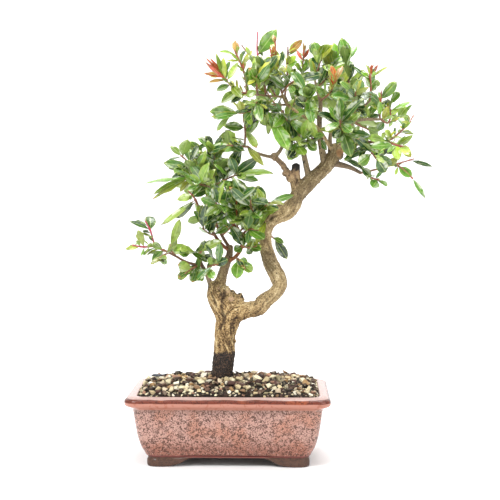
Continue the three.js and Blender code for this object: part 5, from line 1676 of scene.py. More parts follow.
    def build(self, place: PotPlace) -> None:
        """Makes the pot, drills its holes and hands it over.

        Args:
            place: the pot's place.
        """
        shape, drills = Shape(), Shape()
        shape.add(*lofted(self.rings()))
        pot = shown("pot_glazed", shape.mesh("pot_glazed", place))
        cosines, sines = circle(self.hole_sides)
        past = 0.5 * self.floor_underside
        for x in (-self.hole_x, self.hole_x):
            disc = np.column_stack([x + self.hole_radius * cosines, self.hole_radius * sines])
            heights = (past, self.floor_top + past)
            drills.add(*lofted([np.column_stack([disc, np.full(len(disc), z)]) for z in heights]))
        drill = shown("drill", drills.mesh("drill", place))
        cut = pot.modifiers.new("holes", "BOOLEAN")
        cut.object = drill
        cut.operation = "DIFFERENCE"
        cut.solver = "EXACT"
        settle(pot)
        bpy.data.objects.remove(drill)
        dress(pot, GlazedStoneware().build())
        pot.data.set_sharp_from_angle(angle=math.radians(self.sharp_angle))
        hand_over(pot, "pot")


# ---------------------------------------------------------------------------------------------
# Ground
# ---------------------------------------------------------------------------------------------


@dataclass(frozen=True)
class GritKind:
    """One family of grains: its piece's name, its tones and how often it comes up.

    The shares hold on the left, on the right and behind the trunk.
    """

    name: str
    tones: tuple[str, ...]
    shares: tuple[float, float, float]


@dataclass(frozen=True)
class Sowing:
    """One round of thrown grains, with the least and most that a grain is from the wall."""

    largest: float
    smallest: float
    throws: int
    # A share of the grain's size, and millimetres.
    least_gap: float
    most_gap: float = 99


@dataclass(frozen=True)
class Ground:
    """Loose grit on its bed of painted shade, the bark flake on it and the soil underneath."""

    kinds: tuple[GritKind, ...] = (
        GritKind(
            "grit_cream_grains", ("#e8dcb8", "#dacba6", "#f2ead3", "#cfbc92", "#d6c3a5"),
            (0.43, 0.3, 0.15),
        ),
        GritKind(
            "grit_brown_grains", ("#a98558", "#8a6a4c", "#948868", "#a1987a", "#a87e66"),
            (0.23, 0.25, 0.1),
        ),
        GritKind(
            "grit_dark_grains", ("#432d25", "#30221b", "#1e1510", "#563a32", "#63493a"),
            (0.36, 0.45, 0.75),
        ),
    )
    # The first sowing is the row of small grains at the wall.
    sowings: tuple[Sowing, ...] = (
        Sowing(4.4, 3.2, 16000, 0.0, 0.8), Sowing(9.5, 7.4, 260, 0.3),
        Sowing(7.2, 5.4, 1500, 0.2), Sowing(5.2, 3.8, 5200, 0.14),
        Sowing(3.6, 2.4, 9000, 0.14), Sowing(2.4, 1.8, 7000, 0.14),
    )
    wall_half_width: float = 89.2
    wall_half_depth: float = 54.2
    wall_corner: float = 11.5
    drop_height: float = 150
    # How close two grains and a grain and the trunk may lie, as a share of their sizes.
    packing: float = 0.4
    trunk_room: float = 0.42
    # Grains this close to the wall are lifted by this share of their thickness, and others by a
    # share between these two.
    edge: float = 0.8
    edge_lift: float = -0.25
    lift: Pair = (0.12, 0.3)
    # How far a grain leans, its sizes as shares of what was thrown, and how light it is.
    lean: float = 0.3
    thickness: Pair = (0.6, 0.85)
    length: Pair = (1, 1.15)
    width: Pair = (0.75, 1)
    lightness: Pair = (0.72, 1.05)
    # The dark place behind the trunk, as its middle, reach and flatness, and where the right begins.
    dark_middle: Pair = (-28, 18)
    dark_reach: float = 24
    dark_flatness: float = 1.2
    right_start: float = 28
    seed: int = 11
    stone_shapes: int = 9
    stone_corners: int = 12
    stone_reach: Pair = (0.38, 0.6)
    # The flake's half-sizes, its turn from the width and its rings, as heights with shares of them.
    flake_half_long: float = 7.6
    flake_half_short: float = 4.1
    flake_turn: float = -0.25
    flake_sides: int = 40
    # How square its outline is, how far that is ragged round its mean, and its waves' height.
    flake_squareness: float = 0.75
    flake_ragged: Pair = (0.93, 0.1)
    flake_waves: float = 0.25
    flake_rings: tuple[Pair, ...] = (
        (-0.9, 0.72), (-0.9, 0.95), (-0.3, 1.0), (0.35, 0.98), (0.9, 0.86), (1.0, 0.5),
    )

    def stones(self) -> list[bpy.types.Mesh]:
        """Makes small broken stones with flat faces and sharp edges.

        Returns:
            Meshes about 1 mm across.
        """
        draw = random.Random(self.seed)
        meshes = []
        for number in range(self.stone_shapes):
            made = bmesh.new()
            for _ in range(self.stone_corners):
                made.verts.new(unit(shaken(draw, *EVERY_WAY)) * draw.uniform(*self.stone_reach))
            hull = bmesh.ops.convex_hull(made, input=made.verts)
            bmesh.ops.delete(made, geom=hull["geom_interior"], context="VERTS")
            mesh = bpy.data.meshes.new(f"stone_{number}")
            made.to_mesh(mesh)
            made.free()
            meshes.append(mesh)
        return meshes

    def wall_gap(self, x: float, y: float) -> float:
        """How far a place is inside the pot's wall."""
        qx = abs(x) - (self.wall_half_width - self.wall_corner)
        qy = abs(y) - (self.wall_half_depth - self.wall_corner)
        return self.wall_corner - (math.hypot(max(qx, 0), max(qy, 0)) + min(max(qx, qy), 0))

    def throw(self, place: PotPlace, bed: BVHTree, trunk: BVHTree) -> dict[str, list[Spot]]:
        """Throws grains onto the bed, none closer than they can lie.

        Args:
            place: the pot's place.
            bed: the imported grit's surface.
            trunk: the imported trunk's surface.

        Returns:
            The spots of each family of grains, by its piece's name.
        """
        draw = random.Random(self.seed)
        lying = np.zeros((0, 3))
        spots: dict[str, list[Spot]] = {kind.name: [] for kind in self.kinds}
        for sowing in self.sowings:
            for _ in range(sowing.throws):
                size = draw.uniform(sowing.smallest, sowing.largest)
                x = draw.uniform(-self.wall_half_width, self.wall_half_width)
                y = draw.uniform(-self.wall_half_depth, self.wall_half_depth)
                if not size * sowing.least_gap < self.wall_gap(x, y) < sowing.most_gap:
                    continue
                apart = np.hypot(lying[:, 0] - x, lying[:, 1] - y)
                if (apart < self.packing * (lying[:, 2] + size)).any():
                    continue
                start = Vector(place.metres(np.array([x, y, self.drop_height])))
                hit, normal, _, _ = bed.ray_cast(start, Vector((0, 0, -1)))
                if hit is None or trunk.find_nearest(hit)[3] < size * self.trunk_room * MM:
                    continue
                lying = np.vstack([lying, (x, y, size)])
                name, spot = self.grain(draw, place.millimetres(np.array(hit)), np.array(normal), size)
                spots[name].append(spot)
        return spots

    def grain(
        self, draw: random.Random, spot: np.ndarray, normal: np.ndarray, size: float
    ) -> tuple[str, Spot]:
        """Lays one grain on the bed, sunk in a little.

        Args:
            draw: the random numbers.
            spot: where it touches the bed.
            normal: the bed's direction there.
            size: about how large it is.

        Returns:
            Its family's name and its spot.
        """
        off_x, off_y = spot[0] - self.dark_middle[0], (spot[1] - self.dark_middle[1]) * self.dark_flatness
        where = 2 if math.hypot(off_x, off_y) < self.dark_reach else int(spot[0] > self.right_start)
        kind = draw.choices(self.kinds, [k.shares[where] for k in self.kinds])[0]
        turn = draw.uniform(0, 2 * math.pi)
        aim = np.array([math.cos(turn), math.sin(turn), draw.uniform(-self.lean, self.lean)])
        facing = unit(normal + (*shaken(draw, *[(0, self.lean)] * 2), 0))
        aim = unit(aim - facing * np.dot(aim, facing))
        thick = size * draw.uniform(*self.thickness)
        is_edge = self.wall_gap(spot[0], spot[1]) < self.edge
        middle = spot + normal * thick * (self.edge_lift if is_edge else draw.uniform(*self.lift))
        tone = np.array(linear(draw.choice(kind.tones)))
        tone[:3] *= draw.uniform(*self.lightness)
        sizes = (size * draw.uniform(*self.length), size * draw.uniform(*self.width), thick)
        return kind.name, Spot(
            middle, aim, facing, sizes, draw.randrange(self.stone_shapes), np.clip(tone, 0, 1)
        )

    def flake(self, place: PotPlace) -> None:
        """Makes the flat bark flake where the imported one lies, with a broken outline.

        Args:
            place: the pot's place.
        """
        low, high = (place.millimetres(np.array(c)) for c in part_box("bark_chip"))
        middle = (low + high) / 2
        cosine, sine = math.cos(self.flake_turn), math.sin(self.flake_turn)
        long_way, short_way = np.array([cosine, sine, 0]), np.array([-sine, cosine, 0])
        mean, spread = self.flake_ragged
        rings = []
        for height, share in self.flake_rings:
            ring = []
            for x, y in zip(*circle(self.flake_sides)):
                square = max(abs(x), abs(y)) ** self.flake_squareness
                ragged = mean + spread * noise.noise(Vector((x * 2, y * 2, height)))
                along = self.flake_half_long * share * ragged * x / square
                across = self.flake_half_short * share * ragged * y / square
                wave = noise.noise(Vector((along * 0.3, across * 0.5, 3.0)))
                lift = height + self.flake_waves * wave
                ring.append(middle + long_way * along + short_way * across + (0, 0, lift))
            rings.append(np.array(ring))
        shape = Shape()
        shape.add(*lofted(rings))
        flake = shown("bark_flake", shape.mesh("bark_flake", place), FlakedBark().build())
        hand_over(flake, "bark_chip")

    def build(self, place: PotPlace, nodes: dict[str, bpy.types.Object]) -> None:
        """Dresses the soil and the bed, and lays the grains and the flake.

        Args:
            place: the pot's place.
            nodes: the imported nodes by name.
        """
        dress(nodes["soil"], CrumbledMatter("damp_potting_soil", "#2a1f17", "#5a4433", 2.5).build())
        # Painted shade: the bed between the grains is near black.
        dress(nodes["gravel_layer"], CrumbledMatter("dark_grit_bed", "#1a130d", "#4c3b2b", 2.0).build())
        graph = bpy.context.evaluated_depsgraph_get()
        bed, trunk = (BVHTree.FromObject(nodes[name], graph) for name in ("gravel_layer", "trunk"))
        scatter = Scatter("stone", self.stones(), spread=0.06, seed=self.seed)
        material = GritStone().build()
        for name, spots in self.throw(place, bed, trunk).items():
            hand_over(scatter.pieces(name, spots, place, material))
        scatter.clear()
        self.flake(place)


# ---------------------------------------------------------------------------------------------
# Trunk
# ---------------------------------------------------------------------------------------------


@dataclass(frozen=True)
class Patch:
    """A round patch on the bark: its middle, its reach in millimetres and how ragged its edge is."""

    middle: Point
    reach: float
    ragged: float = 0.35


@dataclass(frozen=True)
class Crack:
    """A crack: points on its run, how far it reaches to each side and how deep it is."""

    run: tuple[Point, ...]
    reach: float
    depth: float


@dataclass(frozen=True)
class Trunk:
    """The trunk with its burl, dead stub and woody limbs, as one skin of bark."""

    voxel: float = 0.85
    line_step: float = 2.0
    tube_sides: int = 20
    ball_detail: int = 3
    relax_factor: float = 0.5
    relax_times: int = 4
    # The relaxed skin grows back by this much. Ridges and crumples add to it: everywhere, on
    # thick wood and, for crumples, on rough patches.
    regrow: float = 0.16
    ridge_depth: Pair = (0.1, 0.42)
    crumple_depth: tuple[float, float, float] = (0.06, 0.34, 0.9)
    # Radii between which wood counts as thick, as a limb and as shaded, the last above a height.
    thick_radii: Pair = (1.2, 6)
    limb_radii: Pair = (6.0, 4.4)
    shaded_radii: Pair = (5.5, 6.2)
    shaded_heights: Pair = (252, 266)
    # The grain's turn in radians a millimetre, its stretch and the distance from line to line.
    twist: float = 0.035
    grain_stretch: float = 0.16
    grain_gap: float = 500
    # The damp band's edge with how far noise and ridges move it, and its crust's depths.
    damp_heights: Pair = (110.6, 107.6)
    damp_ragged: Pair = (3.5, 2)
    damp_crust: Pair = (0.9, 0.3)
    # The crumples that get painted shade in their hollows: from where to where, how dark in general
    # and on rough patches, and by what share less on the paler bark.
    sunk_crumples: Pair = (-0.25, -0.75)
    sunk_dark: Pair = (0.35, 0.3)
    sunk_less: float = 0.75
    # The paler bark starts and is full at these heights, lower down towards the right.
    upper_heights: Pair = (150, 196)
    upper_slant: float = 0.6
    # Warts: how many a lump has, how many millimetres apart they may be on the trunk and how often
    # there is one there, the share of the surface's depth that they lie at, and their radii.
    lump_warts: int = 9
    lump_wart_depth: float = 0.93
    lump_wart_radii: Pair = (1.1, 2.3)
    wart_step: float = 7
    wart_rows: tuple[int, int] = (4, -2)
    wart_chance: float = 0.55
    wart_depth: float = 0.97
    wart_radii: Pair = (0.7, 1.5)
    # Where a patch's edge starts and where the patch is full, as shares of its reach.
    patch_edge: Pair = (1.15, 0.8)
    # The scales of the patterns, per millimetre.
    wander_pace: float = 0.28
    lump_pace: float = 0.6
    ridge_pace: float = 0.42
    crumple_pace: float = 0.3
    crack_step: float = 0.7
    crack_core: float = 0.25
    crack_ragged: float = 1.1
    # How dark the painted shade at a crack's core is.
    crack_dark: float = 0.78
    callus_light: float = 0.9
    callus: tuple[Patch, ...] = (
        Patch((0, -10, 171), 3.6, 0.7), Patch((2, -9, 164), 3.0, 0.7), Patch((-10, -8, 174), 2.2),
    )
    charred: tuple[Patch, ...] = (
        Patch((67, 0, 300), 8.5), Patch((4, -4, 174.5), 3.6), Patch((9, -3, 170), 2.6),
        Patch((13.4, -2, 165.8), 1.8), Patch((-22.5, -2, 176), 1.8), Patch((-23.5, -2, 166), 1.4),
        Patch((28.1, -4, 163.2), 1.7), Patch((33.6, -4, 167), 1.6),
    )
    cracks: tuple[Crack, ...] = (
        Crack(
            (
                (-5.4, -10.5, 166), (-7.4, -10.5, 161), (-7.4, -10.5, 152), (-5.6, -11, 146),
                (-7, -11, 139), (-11, -10.5, 131), (-12, -10.5, 122),
            ), 2.4, 2.0,
        ),
        Crack(((-12, -10, 177), (-9.5, -10.5, 171), (-5.4, -10.5, 166)), 1.8, 1.5),
        Crack(((-5.4, -10.5, 166), (-1, -10.5, 167.4), (4.6, -9.5, 167.6), (8, -8, 170)), 1.6, 1.4),
        Crack(((-3, -10, 178), (-3.6, -10.5, 172), (-5.4, -10.5, 166)), 1.3, 1.2),
        Crack(((-19, -8, 170), (-15, -10, 163), (-13, -10.5, 155)), 1.6, 1.2),
        Crack(((3, -9.5, 118), (1.8, -10.5, 130), (3, -11, 140), (8, -10, 146)), 1.5, 0.9),
        Crack(((38, 0, 240), (44, -1, 246), (52, -2, 248.5)), 1.8, 1.0),
        Crack(((61, -5, 262), (64, -5, 274), (69, -4, 284)), 1.6, 1.0),
    )
    rough: tuple[Patch, ...] = (
        Patch((-5, 0, 168), 15, 0.2), Patch((64, -2, 287), 8), Patch((55, -1, 297), 5),
        Patch((45, -2, 306), 4.5),
    )
    # Patches of painted shade at the trunk's bend.
    painted_shade_and_dullness: tuple[Patch, ...] = (Patch((37, -1, 204), 9, 0.5), Patch((42, -1, 194), 6, 0.5))
    heartwood: tuple[Patch, ...] = (Patch((111, -9, 311.5), 3.6), Patch((113.5, -4, 314), 2.6))
    seed: int = 5

    def lines(self) -> dict[str, np.ndarray]:
        """The smooth centre lines with their radii, by name."""
        rows = {"trunk": TRUNK_LINE, "burl": BURL_NECK, "stub": DEAD_STUB, **LIMBS}
        return {name: smooth_rows(points, self.line_step) for name, points in rows.items()}

    def warts(self) -> list[tuple[np.ndarray, float]]:
        """Scatters small knobs over the burl and along the trunk.

        Returns:
            The centre and radius of each.
        """
        draw = random.Random(self.seed)
        made = []
        for centre, half in BURL_LUMPS:
            for _ in range(self.lump_warts):
                off = unit(shaken(draw, (0, 1), (-0.5, 1), (0, 1))) * np.array(half)
                spot = np.array(centre) + off * self.lump_wart_depth
                made.append((spot, draw.uniform(*self.lump_wart_radii)))
        first, last = self.wart_rows
        for row in smooth_rows(TRUNK_LINE, self.wart_step)[first:last]:
            if draw.random() < self.wart_chance:
                off = unit(shaken(draw, (0, 1), (-0.4, 0.7), (0, 1))) * row[3]
                made.append((row[:3] + off * self.wart_depth, draw.uniform(*self.wart_radii)))
        return made

    def rough_shape(self, lines: dict[str, np.ndarray]) -> Shape:
        """Gathers all tubes, lumps and knobs.

        Args:
            lines: the smooth centre lines with their radii.

        Returns:
            Their closed surfaces, still separate.
        """
        shape = Shape()
        for rows in lines.values():
            shape.add(*tube(rows, self.tube_sides))
        places, faces = ball(self.ball_detail)
        knobs = [(centre, (radius,) * 3) for centre, radius in (*KNOBS, *self.warts())]
        for centre, half in (*BURL_LUMPS, *knobs):
            shape.add(places * np.array(half) + np.array(centre), faces)
        return shape

    def skin(self, place: PotPlace, lines: dict[str, np.ndarray]) -> bpy.types.Object:
        """Grows one closed skin over the rough shape, its voxel steps relaxed away.

        Args:
            place: the pot's place.
            lines: the smooth centre lines with their radii.

        Returns:
            The skin as a plain object.
        """
        trunk = shown("trunk_bark", self.rough_shape(lines).mesh("trunk_bark", place))
        melt = trunk.modifiers.new("melt", "REMESH")
        melt.mode = "VOXEL"
        melt.voxel_size = self.voxel * MM
        melt.use_smooth_shade = True
        relax = trunk.modifiers.new("relax", "SMOOTH")
        relax.factor = self.relax_factor
        relax.iterations = self.relax_times
        return settle(trunk)

    @staticmethod
    def nearest(places: np.ndarray, rows: np.ndarray, block: int = 4000) -> np.ndarray:
        """Finds the row whose round surface is nearest to each place.

        Args:
            places: the places.
            rows: x, y, z and radius of each row.
            block: how many places are worked out at a time.

        Returns:
            The number of the row for each place.
        """
        which = np.zeros(len(places), int)
        for start in range(0, len(places), block):
            some = places[start : start + block]
            gap = np.linalg.norm(some[:, None] - rows[None, :, :3], axis=2) - rows[None, :, 3]
            which[start : start + block] = gap.argmin(1)
        return which

    def cracked(self, places: np.ndarray, wander: np.ndarray) -> tuple[np.ndarray, np.ndarray]:
        """Lays the cracks into the bark.

        Args:
            places: the bark's vertices.
            wander: a slow noise at each, which bends the edges.

        Returns:
            How much painted shade each place gets in a crack, up to 1, and how deep in millimetres.
        """
        dark, deep = np.zeros(len(places)), np.zeros(len(places))
        for crack in self.cracks:
            line = smooth_rows(crack.run, self.crack_step)
            away = np.min([np.linalg.norm(places - point, axis=1) for point in line], axis=0)
            core = self.crack_core * crack.reach
            share = smooth_step(crack.reach, core, away + wander * self.crack_ragged)
            dark = np.maximum(dark, share * self.crack_dark)
            deep = np.maximum(deep, share * crack.depth)
        return dark, deep

    def patched(
        self, places: np.ndarray, wander: np.ndarray, patches: Sequence[Patch]
    ) -> np.ndarray:
        """Lays patches onto the bark.

        Args:
            places: the bark's vertices.
            wander: a slow noise at each, which bends the edges.
            patches: the patches.

        Returns:
            1 inside any of the patches and 0 away from them, for each vertex.
        """
        mask = np.zeros(len(places))
        for patch in patches:
            away = np.linalg.norm(places - np.array(patch.middle), axis=1) / patch.reach
            mask = np.maximum(mask, smooth_step(*self.patch_edge, away + wander * patch.ragged))
        return mask

    def grown(self, lines: dict[str, np.ndarray]) -> dict[str, np.ndarray]:
        """Puts every centre line's rows into one table.

        Args:
            lines: the smooth centre lines with their radii.

        Returns:
            The rows, two directions across each, how far along it is, its limb share and its tone.
        """
        made: dict[str, list] = {key: [] for key in ("rows", "across", "over", "far", "limb", "tone")}
        for number, (name, line) in enumerate(lines.items()):
            _, across, over = carried_frames(line[:, :3])
            tone = linear(LIMB_TONES.get(name, OLD_LIMB))
            values = (
                line, across, over, lengths_along(line) + self.grain_gap * number,
                smooth_step(*self.limb_radii, line[:, 3]) * (name not in ("trunk", "burl")),
                np.tile(tone, (len(line), 1)),
            )
            for key, value in zip(made, values):
                made[key].append(value)
        return {key: np.concatenate(values) for key, values in made.items()}

    @staticmethod
    def read(mesh: bpy.types.Mesh, key: str) -> np.ndarray:
        """Reads the mesh's vertices.

        Args:
            mesh: the mesh.
            key: co for their places or normal for their directions.

        Returns:
            Rows of x, y and z.
        """
        values = np.zeros(len(mesh.vertices) * 3, np.float32)
        mesh.vertices.foreach_get(key, values)
        return values.reshape(-1, 3).astype(float)

    def wound(self, off: np.ndarray, near: dict[str, np.ndarray]) -> np.ndarray:
        """Winds the grain up each limb, as turned coordinates round its line.

        Args:
            off: the way from the nearest row of a centre line to each vertex.
            near: that row's values, as in grown.

        Returns:
            The grain's coordinates at each vertex.
        """
        turn = np.arctan2((off * near["over"]).sum(1), (off * near["across"]).sum(1))
        turn = turn + near["far"] * self.twist
        far, radius = near["far"] * self.grain_stretch, np.linalg.norm(off, axis=1)
        return np.column_stack([radius * np.cos(turn), radius * np.sin(turn), far])

    def build(self, place: PotPlace) -> None:
        """Makes the trunk and hands it over.

        Args:
            place: the pot's place.
        """
        lines = self.lines()
        trunk = self.skin(place, lines)
        mesh = trunk.data
        places, normals = place.millimetres(self.read(mesh, "co")), self.read(mesh, "normal")
        grown = self.grown(lines)
        which = self.nearest(places, grown["rows"])
        near = {key: values[which] for key, values in grown.items()}
        radii, z = near["rows"][:, 3], places[:, 2]
        grain = self.wound(places - near["rows"][:, :3], near)
        wander, lumps = (
            np.array([noise.noise(Vector(p * pace)) for p in places])
            for pace in (self.wander_pace, self.lump_pace)
        )
        # The bark's ridges run along its grain, its crumples don't.
        ridge, crumple = (
            np.array([noise.fractal(Vector(p * pace), falloff, 2.1, octaves) for p in points])
            for points, pace, falloff, octaves in (
                (grain, self.ridge_pace, 0.8, 3), (places, self.crumple_pace, 0.7, 4),
            )
        )
        rough, painted_shade_and_dullness, charred, callus, heart = (
            self.patched(places, wander, patches)
            for patches in (self.rough, self.painted_shade_and_dullness, self.charred, self.callus, self.heartwood)
        )
        thick = smooth_step(*self.thick_radii, radii)
        crack, depth = self.cracked(places, wander)
        by_noise, by_ridge = self.damp_ragged
        damp = smooth_step(*self.damp_heights, z + wander * by_noise + ridge * by_ridge)
        upper = smooth_step(*self.upper_heights, z + places[:, 0] * self.upper_slant)
        shaded = smooth_step(*self.shaded_heights, z) * smooth_step(*self.shaded_radii, radii)
        # Painted shade in the hollows of the crumples.
        plain_dark, rough_dark = self.sunk_dark
        sunk = smooth_step(*self.sunk_crumples, crumple) * (plain_dark + rough_dark * rough)
        sunk = sunk * thick * (1 - self.sunk_less * upper)
        swell = self.regrow + ridge * (self.ridge_depth[0] + self.ridge_depth[1] * thick)
        everywhere, on_thick, on_rough = self.crumple_depth
        swell = swell + crumple * (everywhere + on_thick * thick + on_rough * rough)
        lumpy, even = self.damp_crust
        swell = swell - depth + damp * (lumps * lumpy + even)
        mesh.vertices.foreach_set("co", place.metres(places + normals * swell[:, None]).ravel())
        mark(mesh, "grain", grain)
        # The zones' last channel is painted shade: the upper trunk under the crown and the bend.
        mark(mesh, "zones", np.column_stack([damp, upper, near["limb"], np.maximum(shaded, painted_shade_and_dullness)]))
        # Painted shade in the cracks and the crumples' hollows.
        hollow_shade = np.maximum(crack, sunk)
        mark(mesh, "wounds", np.column_stack([charred, callus * self.callus_light, heart, hollow_shade]))
        mark(mesh, "tone", near["tone"])
        dress(trunk, PomegranateBark().build())
        mesh.update()
        hand_over(trunk, "trunk")


# ---------------------------------------------------------------------------------------------
# Leafy shoots
# ---------------------------------------------------------------------------------------------


class Outline(Enum):
    """A blade's outline, as the powers of its rise from the stalk and of its fall to the tip."""

    OBOVATE = (1.05, 0.56)
    ELLIPTIC = (0.85, 0.76)
    NARROW = (0.85, 0.95)


@dataclass(frozen=True)
class Bend:
    """How a blade is bent: its arch, droop of the tip, fold, waves of the margin and twist."""

    arch: float
    droop: float
    fold: float
    wave: float
    twist: float

    def height(self, along: float) -> float:
        """How high the blade's middle is at a share of its length."""
        return self.arch * 4 * along * (1 - along) + self.droop * (along**2 - along**4)


@dataclass(frozen=True)
class Blades:
    """Small leaf blades one unit long and wide, in every outline and bend."""

    bends: tuple[Bend, ...] = (
        Bend(0.03, 0.02, 0.07, 0.012, 0.1), Bend(0.05, -0.06, 0.12, 0.02, -0.14),
        Bend(-0.01, 0.08, 0.05, 0.028, 0.2), Bend(0.04, 0.08, 0.15, 0.014, -0.22),
        Bend(0.07, -0.03, 0.09, 0.03, 0.05),
    )
    places_along: tuple[float, ...] = (0.09, 0.2, 0.36, 0.54, 0.72, 0.89)
    # Round a blade: how far across, and on its upper side, its edge or its underside.
    ring: tuple[tuple[float, int], ...] = ((-1, 0), (-0.5, 1), (0, 1), (0.5, 1), (1, 0), (0, -1))
    stalk_end: float = 0.09
    least_half_width: float = 0.045
    thickness: float = 0.014
    wave_pace: float = 19
    wave_lag: float = 1.3

    def half_width(self, outline: Outline, along: float) -> float:
        """Works out a blade's width.

        Args:
            outline: its outline.
            along: a share of its length.

        Returns:
            Half the width there, at most 0.5.
        """
        rise, fall = outline.value
        peak = rise / (rise + fall)
        way = max(0.0, (along - self.stalk_end) / (1 - self.stalk_end))
        full = (way / peak) ** rise * ((1 - way) / (1 - peak)) ** fall
        return max(0.5 * full, self.least_half_width)

    def one(self, name: str, outline: Outline, bend: Bend) -> bpy.types.Mesh:
        """Makes one blade.

        Args:
            name: its mesh's name.
            outline: its outline.
            bend: how it is bent.

        Returns:
            A closed mesh, its stalk's foot at X = 0 and its tip at X = 1.
        """
        rings, marks = [], []
        for along in self.places_along:
            half = self.half_width(outline, along)
            turn = bend.twist * (along - 0.5)
            ring = []
            for across, side in self.ring:
                width = across * half
                wave = math.sin(along * self.wave_pace + across * self.wave_lag)
                lift = bend.fold * abs(across) * half + bend.wave * across * across * wave
                lift += side * self.thickness * (0.5 if across else 1)
                y = width * math.cos(turn) - lift * math.sin(turn)
                z = width * math.sin(turn) + lift * math.cos(turn)
                ring.append((along, y, z + bend.height(along)))
                marks.append((along, across, side))
            rings.append(np.array(ring))
        places, faces = lofted(rings, [np.array((x, 0, bend.height(x))) for x in (0, 1)])
        marks += [(0, 0, 1), (1, 0, 1)]
        shape = Shape()
        # The rings turn the other way than lofted expects, so its faces are turned over.
        shape.add(places, [(face[0], *face[:0:-1]) for face in faces], blade=np.array(marks, float))
        mesh = shape.mesh(name)
        sharp = mesh.attributes.new("sharp_edge", "BOOLEAN", "EDGE")
        for edge in mesh.edges:
            sharp.data[edge.index].value = all(marks[end][2] == 0 for end in edge.vertices)
        return mesh

    def meshes(self) -> list[bpy.types.Mesh]:
        """Every blade, all bends of one outline after the other."""
        return [
            self.one(f"blade_{outline.name.lower()}_{number}", outline, bend)
            for outline in Outline
            for number, bend in enumerate(self.bends)
        ]

    def variant(self, outline: Outline, draw: random.Random) -> int:
        """The number of a random blade of that outline."""
        return list(Outline).index(outline) * len(self.bends) + draw.randrange(len(self.bends))


@dataclass(frozen=True)
class LeafLook:
    """What leaves of one age look like: tones, outlines, painted sheen, share of scorched tips and breadth.
    """

    tones: tuple[str, ...]
    outlines: tuple[Outline, ...]
    wax_and_painted_sheen: float
    scorch: float
    broader: float


LEAF_LOOKS: dict[Age, LeafLook] = {
    Age.MATURE: LeafLook(
        (
            "#548124", "#68942f", "#3a671d", "#84a63c", "#2d531b", "#48751f", "#9cb54f", "#24481a",
            "#5c862b",
        ),
        (Outline.OBOVATE, Outline.ELLIPTIC, Outline.NARROW, Outline.ELLIPTIC), 0.95, 0.05, 1.22,
    ),
    Age.YOUNG: LeafLook(
        ("#869f31", "#9aa837", "#adb140", "#76952e", "#8f9634"),
        (Outline.ELLIPTIC, Outline.NARROW), 0.35, 0.1, 1.1,
    ),
    Age.RED: LeafLook(
        ("#d8432c", "#c8402f", "#e2583c", "#cf5a2c", "#a9803a"), (Outline.NARROW,), 0.15, 0.0, 1.1,
    ),
    Age.ORANGE: LeafLook(
        ("#b5611b", "#a8761b", "#be4c22"), (Outline.ELLIPTIC,), 0.15, 0.2, 1.1,
    ),
}


def outline_of(points: Iterable[Flat]) -> list[Flat]:
    """Draws the smallest rounded-out outline round points of a plane.

    Args:
        points: the points.

    Returns:
        The outline's corners, counter-clockwise.
    """
    ordered = sorted(set(points))
    outline: list[Flat] = []
    for run in (ordered, ordered[::-1]):
        chain: list[Flat] = []
        for p in run:
            while len(chain) > 1:
                (ax, ay), (bx, by) = chain[-2:]
                if (bx - ax) * (p[1] - ay) - (by - ay) * (p[0] - ax) > 0:
                    break
                chain.pop()
            chain.append(p)
        outline += chain[:-1]
    return outline


def outline_of_shoot(shoot: Shoot) -> list[Flat]:
    """A shoot's outline seen from the front, round its stems and its leaves' tips."""
    flat = [(p[0], p[2]) for stem in shoot.stems for p in stem]
    return outline_of([*flat, *((leaf[2], leaf[4]) for leaf in shoot.leaves)])


def is_inside(outline: Sequence[Flat], x: float, y: float) -> bool:
    """Whether a place is inside a counter-clockwise outline."""
    pairs = zip(outline, [*outline[1:], outline[0]])
    return all((bx - ax) * (y - ay) - (by - ay) * (x - ax) >= 0 for (ax, ay), (bx, by) in pairs)


@dataclass(frozen=True)
class Room:
    """Where filler leaves may be, seen from the front."""

    outlines: list[list[Flat]]
    seen: list[Point]
    # How near a seen limb none may cross it, and how far to the front and back they reach.
    twig_room: float = 5.5
    front: float = -63
    back: float = 62

    def holds(self, spot: np.ndarray) -> bool:
        """Looks whether a filler may be there.

        Args:
            spot: a place.

        Returns:
            Whether it is inside one of the outlines, in no gap and in front of no seen limb.
        """
        x, y, z = spot
        if not self.front < y < self.back:
            return False
        if any(math.hypot(x - gx, z - gz) < reach for gx, gz, reach in GAPS):
            return False
        if any(y < ty and math.hypot(x - tx, z - tz) < self.twig_room for tx, ty, tz in self.seen):
            return False
        return any(is_inside(outline, x, z) for outline in self.outlines)


